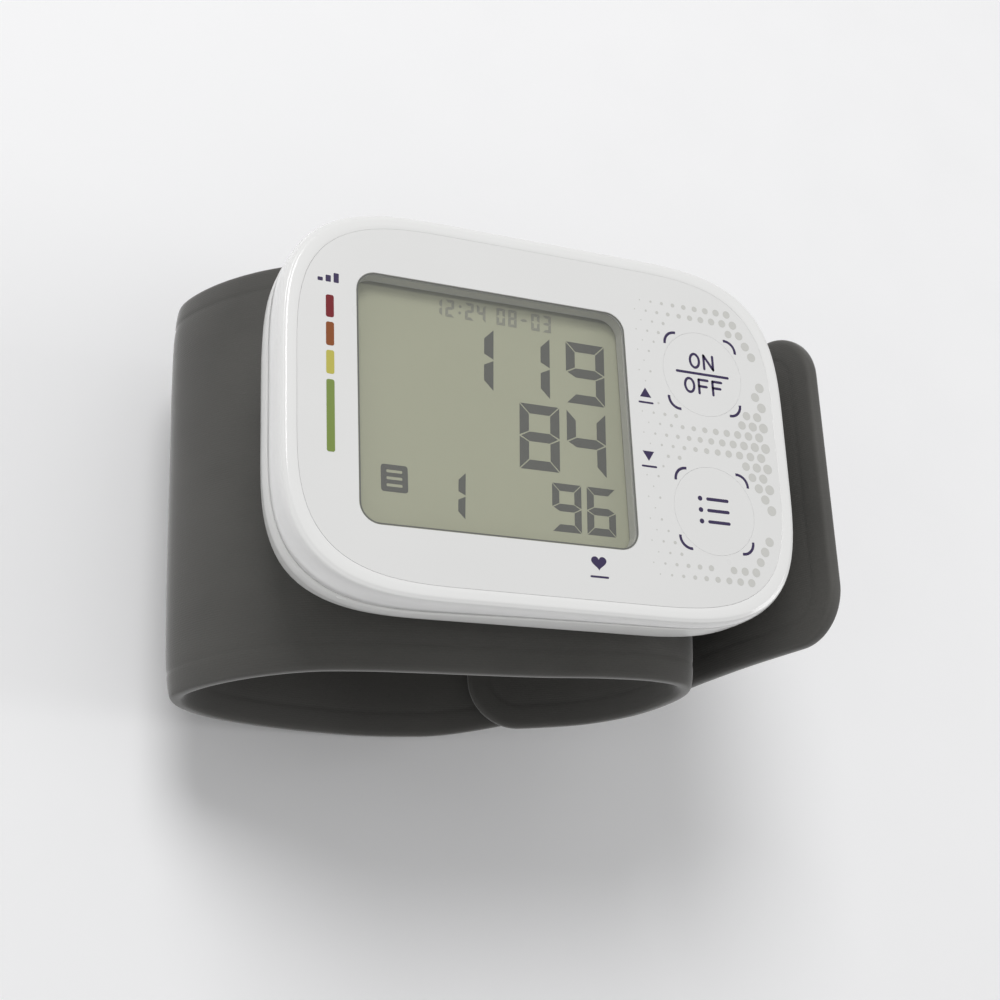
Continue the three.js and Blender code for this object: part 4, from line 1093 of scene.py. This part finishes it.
dots = []
for row in range(-DOT_ROWS, DOT_ROWS + 1):
    for column in range(DOT_COLUMNS):
        x = DOT_START_X + (column + 0.5 * (row % 2)) * DOT_PITCH
        y = row * DOT_PITCH * math.sqrt(3) / 2
        radius = DOT_RADIUS * ((column + 1) / DOT_COLUMNS) ** DOT_GROWTH
        if on_face(x, y, radius):
            dots.append(circle(x, y, radius, 20))
print_on("face_dots", dots, material=print_grey)

# Display
LCD_SEGMENTS = {
    "0": "abcdef", "1": "bc", "2": "abged", "3": "abgcd", "4": "fgbc", "6": "afgedc",
    "8": "abcdefg", "9": "abcdfg", "-": "g",
}
LCD_SLANT = 0.045
LCD_GAP_SHARE = 0.09
LCD_SINK = 0.02
LCD_LIFT = 0.03
lcd_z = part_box("lcd_glass")[1].z / MM


def lcd_digit(digit, left, bottom, width, height, weight):
    """Seven-segment strokes with mitred corners, leaning slightly to the right."""
    right, top, middle = left + width, bottom + height, bottom + height / 2
    gap = weight * LCD_GAP_SHARE
    low, high = left + weight + gap, right - weight - gap
    shapes = {
        "a": [(left + gap, top), (right - gap, top), (high, top - weight), (low, top - weight)],
        "d": [(left + gap, bottom), (low, bottom + weight), (high, bottom + weight),
              (right - gap, bottom)],
        "g": [(left + gap * 2, middle), (low, middle + weight / 2), (high, middle + weight / 2),
              (right - gap * 2, middle), (high, middle - weight / 2), (low, middle - weight / 2)],
    }
    sides = (("b", right, right - weight, top), ("c", right, right - weight, bottom),
             ("f", left, left + weight, top), ("e", left, left + weight, bottom))
    for name, outer, inner, end in sides:
        turn = 1 if end == top else -1
        shapes[name] = [
            (outer, end - turn * gap), (outer, middle + turn * gap),
            (inner, middle + turn * (weight / 2 + gap)), (inner, end - turn * (weight + gap))]
    return [[(x + LCD_SLANT * (y - bottom), y) for x, y in shapes[segment]]
            for segment in LCD_SEGMENTS[digit]]


def lcd_number(text, right, bottom, pitch, width, height, weight):
    """A number whose last digit ends at the right."""
    loops = []
    for i, digit in enumerate(reversed(text)):
        left = right - width - LCD_SLANT * height - i * pitch
        loops += lcd_digit(digit, left, bottom, width, height, weight)
    return loops


def lcd_print(name, loops, material=lcd_mark):
    piece = plate(name, loops, lcd_z - LCD_SINK, lcd_z + LCD_LIFT, material)
    return show(piece, "root", "lcd_glass")


# Each reading: its right end and bottom, then its digits' pitch, width, height and weight
READINGS = {
    "reading_high": ("119", 10.6, 4.2, 8.95, 6.3, 9.7, 1.45),
    "reading_low": ("84", 10.1, -6.9, 7.5, 6.3, 10.0, 1.45),
    "reading_pulse": ("96", 10.9, -15.7, 5.5, 4.6, 7.2, 1.1),
    "reading_slot": ("1", -12.5, -15.5, 5.5, 4.2, 6.9, 1.05),
}
for name, (text, *sizes) in READINGS.items():
    lcd_print(name, lcd_number(text, *sizes))
CLOCK_PARTS = [("08-03", 2.1), ("12", -13.3), ("24", -8.4)]
CLOCK_SIZES = (14.8, 1.85, 1.35, 2.7, 0.42)
COLON_PLACES = [(-12.5, 15.7), (-12.4, 16.7)]
COLON_RADIUS = 0.22
clock = [loop for text, right in CLOCK_PARTS for loop in lcd_number(text, right, *CLOCK_SIZES)]
clock += [circle(x, y, COLON_RADIUS, 16) for x, y in COLON_PLACES]
lcd_print("reading_clock", clock, lcd_faint)
BADGE_PLACE = (-23.05, -10.7)
BADGE_SIZE = 3.9
BADGE_CORNER = 0.45
BADGE_LINE = (2.3, 0.42, 0.15)
badge = rounded_rectangle(*BADGE_PLACE, BADGE_SIZE, BADGE_SIZE, BADGE_CORNER, 5)
badge_lines = [
    rounded_rectangle(BADGE_PLACE[0], BADGE_PLACE[1] + i, *BADGE_LINE, 3) for i in (-1, 0, 1)]
lcd_print("memory_badge", [badge, *badge_lines])

# Strap
points_before_heel = len(
    LAP_SHARES + CUSP_SHARES + FRONT_SHARES + BEND_SHARES + LEAF_SHARES)
along_narrow = (route_run[points_before_heel * ROUTE_STEPS],
                route_run[len(route_line) - 1 - (len(TAIL_SHARES) - 1) * ROUTE_STEPS])
# Half thickness against the distance from the edge: rim, welded margin and crowned middle
SECTION = smooth_line([
    (0, 0), (0.03, 0.42), (0.14, 0.76), (0.4, 1.0), (0.9, 1.18), (2.2, 1.4), (3.2, 1.5), (3.7, 1.47),
    (4.1, 1.51), (4.7, 1.6), (5.9, 1.7), (8.4, 1.79), (13, 1.85), (20, 1.89), (32, 1.9),
], 6)
EDGE_STEPS = [
    0, 0.01, 0.04, 0.1, 0.2, 0.35, 0.6, 1.0, 1.6, 2.2, 2.7, 3.1, 3.4, 3.6, 3.8, 4.0, 4.25, 4.6,
    5.0, 5.5, 6.2, 7.2,
]
MIDDLE_SHARES = [0.09, 0.2, 0.34, 0.5, 0.66, 0.83]
END_STEPS = [
    0, 0.01, 0.03, 0.06, 0.1, 0.16, 0.25, 0.36, 0.5, 0.7, 0.95, 1.25, 1.6, 2.0, 2.4, 2.8, 3.1,
    3.4, 3.6, 3.8, 4.0, 4.25, 4.6, 5.0, 5.5, 6.2, 7.0, 8.0, 9.0,
]
ROW_STEP = 1.1
LEAF_TRIM = 7.0  # the inner leaf's free end is cut back by this


def smooth_step(value, low, high):
    share = min(max((value - low) / (high - low), 0), 1)
    return share * share * (3 - 2 * share)


def narrowing(along):
    """How far the strap has narrowed on its way to the tail, from nought to one."""
    return smooth_step(along, *along_narrow)


def strap_half_width(along):
    return (STRAP_WIDTH - (STRAP_WIDTH - TAIL_WIDTH) * narrowing(along)) / 2


def end_distance(along):
    """Distance to the strap's nearer end."""
    return min(along - LEAF_TRIM, strap_length - along)


def edge_distance(along, across):
    """Distance in from the strap's outline, which has rounded corners."""
    end, side = end_distance(along), strap_half_width(along) - abs(across)
    radius = STRAP_CORNER_RADIUS
    if end < radius and side < radius:
        return max(radius - math.hypot(radius - end, radius - side), 0)
    return max(min(end, side), 0)


def strap_row(along):
    """One ring round the strap: its places, and their places on the flat strap."""
    radius = STRAP_CORNER_RADIUS
    into_corner = max(radius - end_distance(along), 0)
    rounded = radius - math.sqrt(max(radius ** 2 - into_corner ** 2, 0))
    half = strap_half_width(along) - rounded
    steps = [half - step for step in EDGE_STEPS]
    steps += [steps[-1] * (1 - share) for share in MIDDLE_SHARES]
    across = [-value for value in steps] + [0] + steps[::-1]
    x, z, normal_x, normal_z = (float(value) for value in strap_at(along))
    shift = TAIL_SHIFT * narrowing(along)
    ring, flat = [], []
    for side, values in ((1, across), (-1, across[-2:0:-1])):
        for value in values:
            edge = edge_distance(along, value)
            lift = side * float(np.interp(edge, SECTION[:, 0], SECTION[:, 1]))
            ring.append((x + normal_x * lift, value - shift, max(z + normal_z * lift, 0)))
            flat.append((along, value, edge))
    return ring, flat


def strap_skin(name, start, end, material):
    """The strap's closed surface between two distances along it."""
    rows = np.round(np.linspace(start, end, int((end - start) / ROW_STEP) + 1), 4).tolist()
    for step in END_STEPS:
        rows += [round(place, 4) for place in (LEAF_TRIM + step, strap_length - step)
                 if start < place < end]
    rows = sorted({*rows, round(start, 4), round(end, 4)})
    rings, flats = zip(*(strap_row(along) for along in rows))
    count = len(rings[0])
    faces = ring_faces(len(rings), count)
    for base in (0, (len(rings) - 1) * count):
        for i in range(1, count // 2):
            across = base + count - i
            faces.append((base + i, base + i + 1, across - 1, across)
                         if i + 1 < count - i - 1 else (base + i, base + i + 1, across))
        faces.append((base, base + 1, base + count - 1))
    mesh = points_mesh(name, [point for ring in rings for point in ring], faces)
    places = mesh.attributes.new("strap", "FLOAT_VECTOR", "POINT")
    places.data.foreach_set(
        "vector", [value for flat in flats for point in flat for value in point])
    return new_object(name, finish_mesh(mesh), material)


TOP_SEAM_X = -4.0
BOTTOM_SEAM_X = 15.0


def along_where(x, first, last):
    """Distance along the strap where its line crosses x, between two distances."""
    inside = (route_run >= first) & (route_run <= last)
    distances, places = route_run[inside], route_line[inside, 0]
    crossings = np.nonzero(np.diff(np.sign(places - x)))[0]
    return float(distances[crossings[0]])


top_seam = along_where(TOP_SEAM_X, part_ends[1], part_ends[2])
bottom_seam = along_where(BOTTOM_SEAM_X, part_ends[4], part_ends[6])
cuff_inner = strap_skin("cuff_inner", LEAF_TRIM, top_seam, strap_cloth)
show(cuff_inner, "root", "strap_fabric", "inner_leaf")
cuff_outer = strap_skin("cuff_outer", top_seam, bottom_seam, strap_cloth)
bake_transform(cuff_outer)
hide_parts("front_band", "outer_leaf")
cuff_tail = strap_skin("cuff_tail", bottom_seam, strap_length, strap_cloth)
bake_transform(cuff_tail)
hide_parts("strap_tail")

# Hook tape on the outer leaf's inner face
TAPE_HALF = 17.5
TAPE_BASE = -1.6
TAPE_FACE = -1.95
TAPE_BEVEL = 0.12
TAPE_RINGS = 30
HOOK_HEIGHT = 0.15
HOOK_PITCH = 1.15
HOOK_WIDTH = 0.16
HOOK_MARGIN = 1.0
# Each hook is a bent bar: how far along the strap and how high its four stations lie
HOOK_BAR = [
    (0.0, -0.05), (0.0, HOOK_HEIGHT * 0.55), (0.07, HOOK_HEIGHT), (0.24, HOOK_HEIGHT * 0.72),
]


def off_strap(along, across, lift):
    """A place at a lift from the strap's middle surface."""
    x, z, normal_x, normal_z = (float(value) for value in strap_at(along))
    return (x + normal_x * lift, across, z + normal_z * lift)


def hook_tape():
    """A thin tape with rows of small hooks that bend over along the strap."""
    start, end = along_narrow[0] + LEAF_TRIM + WELD_MARGIN, part_ends[6] - WELD_MARGIN
    side = [(TAPE_HALF, TAPE_BASE), (TAPE_HALF, TAPE_FACE + TAPE_BEVEL),
            (TAPE_HALF - TAPE_BEVEL, TAPE_FACE)]
    section = [(-across, lift) for across, lift in side] + side[::-1]
    points = [off_strap(along, across, lift)
              for along in np.linspace(start, end, TAPE_RINGS) for across, lift in section]
    count = len(section)
    faces = ring_faces(TAPE_RINGS, count)
    faces += [tuple(range(count)), tuple(range(len(points) - count, len(points)))]
    for along in np.arange(start + HOOK_MARGIN, end - HOOK_MARGIN, HOOK_PITCH):
        for across in np.arange(-TAPE_HALF + HOOK_MARGIN, TAPE_HALF - HOOK_MARGIN, HOOK_PITCH):
            base = len(points)
            points += [
                off_strap(along + ahead + side_along * HOOK_WIDTH / 2,
                          across + side_across * HOOK_WIDTH / 2, TAPE_FACE - height)
                for ahead, height in HOOK_BAR for side_along, side_across in SQUARE]
            faces += ring_faces(len(HOOK_BAR), 4, base)
            faces += [tuple(range(first, first + 4)) for first in (base, len(points) - 4)]
    return points_mesh("hook_tape", points, faces)


tape = new_object("hook_tape", finish_mesh(hook_tape()), hook_nylon)
show(tape, "outer_leaf", "hook_fabric", "hook_pad")

# Stage
FLOOR_SIZE = 6000.0
FLOOR_DROP = 0.1
floor_corners = [(x * FLOOR_SIZE, y * FLOOR_SIZE, -FLOOR_DROP) for x, y in SQUARE]
floor_paint = moulded("floor_paint", rgb(250, 250, 251), 0.8)
floor = new_object("floor", points_mesh("floor", floor_corners, [(0, 1, 2, 3)]), floor_paint)

# Each lamp: its place in metres, size and power
LAMPS = {
    "key_light": ((-0.25, 0.48, 0.84), 0.45, 4.7),
    "left_light": ((-0.8, -0.3, 0.5), 0.7, 0.7),
    "right_light": ((0.8, -0.1, 0.5), 0.4, 1.5),
}
LAMP_TARGET = Vector((0, 0, 0.04))
for name, (place, size, power) in LAMPS.items():
    light = bpy.data.lights.new(name, "AREA")
    light.shape = "DISK"
    light.size = size
    light.energy = power
    lamp = add_object(name, light)
    lamp.location = place
    lamp.rotation_euler = (LAMP_TARGET - Vector(place)).to_track_quat("-Z", "Y").to_euler()

WORLD_STRENGTH = 0.41
world = bpy.data.worlds.new("studio")
world.use_nodes = True
backdrop = world.node_tree.nodes["Background"]
backdrop.inputs["Color"].default_value = (1, 1, 1, 1)
backdrop.inputs["Strength"].default_value = WORLD_STRENGTH
bpy.context.scene.world = world

# Camera: its place in millimetres from the face's middle, turned a little about its own axis
CAMERA_PLACE = (-101.35, -88.8, 193.1)
CAMERA_RIGHT = (0.9128, -0.1721, 0.3705)
CAMERA_UP = (0.0227, 0.9269, 0.3745)
CAMERA_ROLL = 8.0
CAMERA_LENS = 60.0
SENSOR_WIDTH = 36.0
CLIP_START = 0.01
roll = math.radians(CAMERA_ROLL)
right, up = Vector(CAMERA_RIGHT), Vector(CAMERA_UP)
turned_right = (right * math.cos(roll) + up * math.sin(roll)).normalized()
turned_up = (up * math.cos(roll) - right * math.sin(roll)).normalized()
back = turned_right.cross(turned_up)
camera_data = bpy.data.cameras.new("camera")
camera_data.lens = CAMERA_LENS
camera_data.sensor_width = SENSOR_WIDTH
camera_data.clip_start = CLIP_START
camera = add_object("camera", camera_data)
place = Vector((CAMERA_PLACE[0], CAMERA_PLACE[1], face_z + CAMERA_PLACE[2])) * MM
turn = Matrix((turned_right, turned_up, back)).transposed().to_4x4()
camera.matrix_world = Matrix.Translation(place) @ turn
bpy.context.scene.camera = camera
bpy.context.scene.view_settings.view_transform = "Standard"
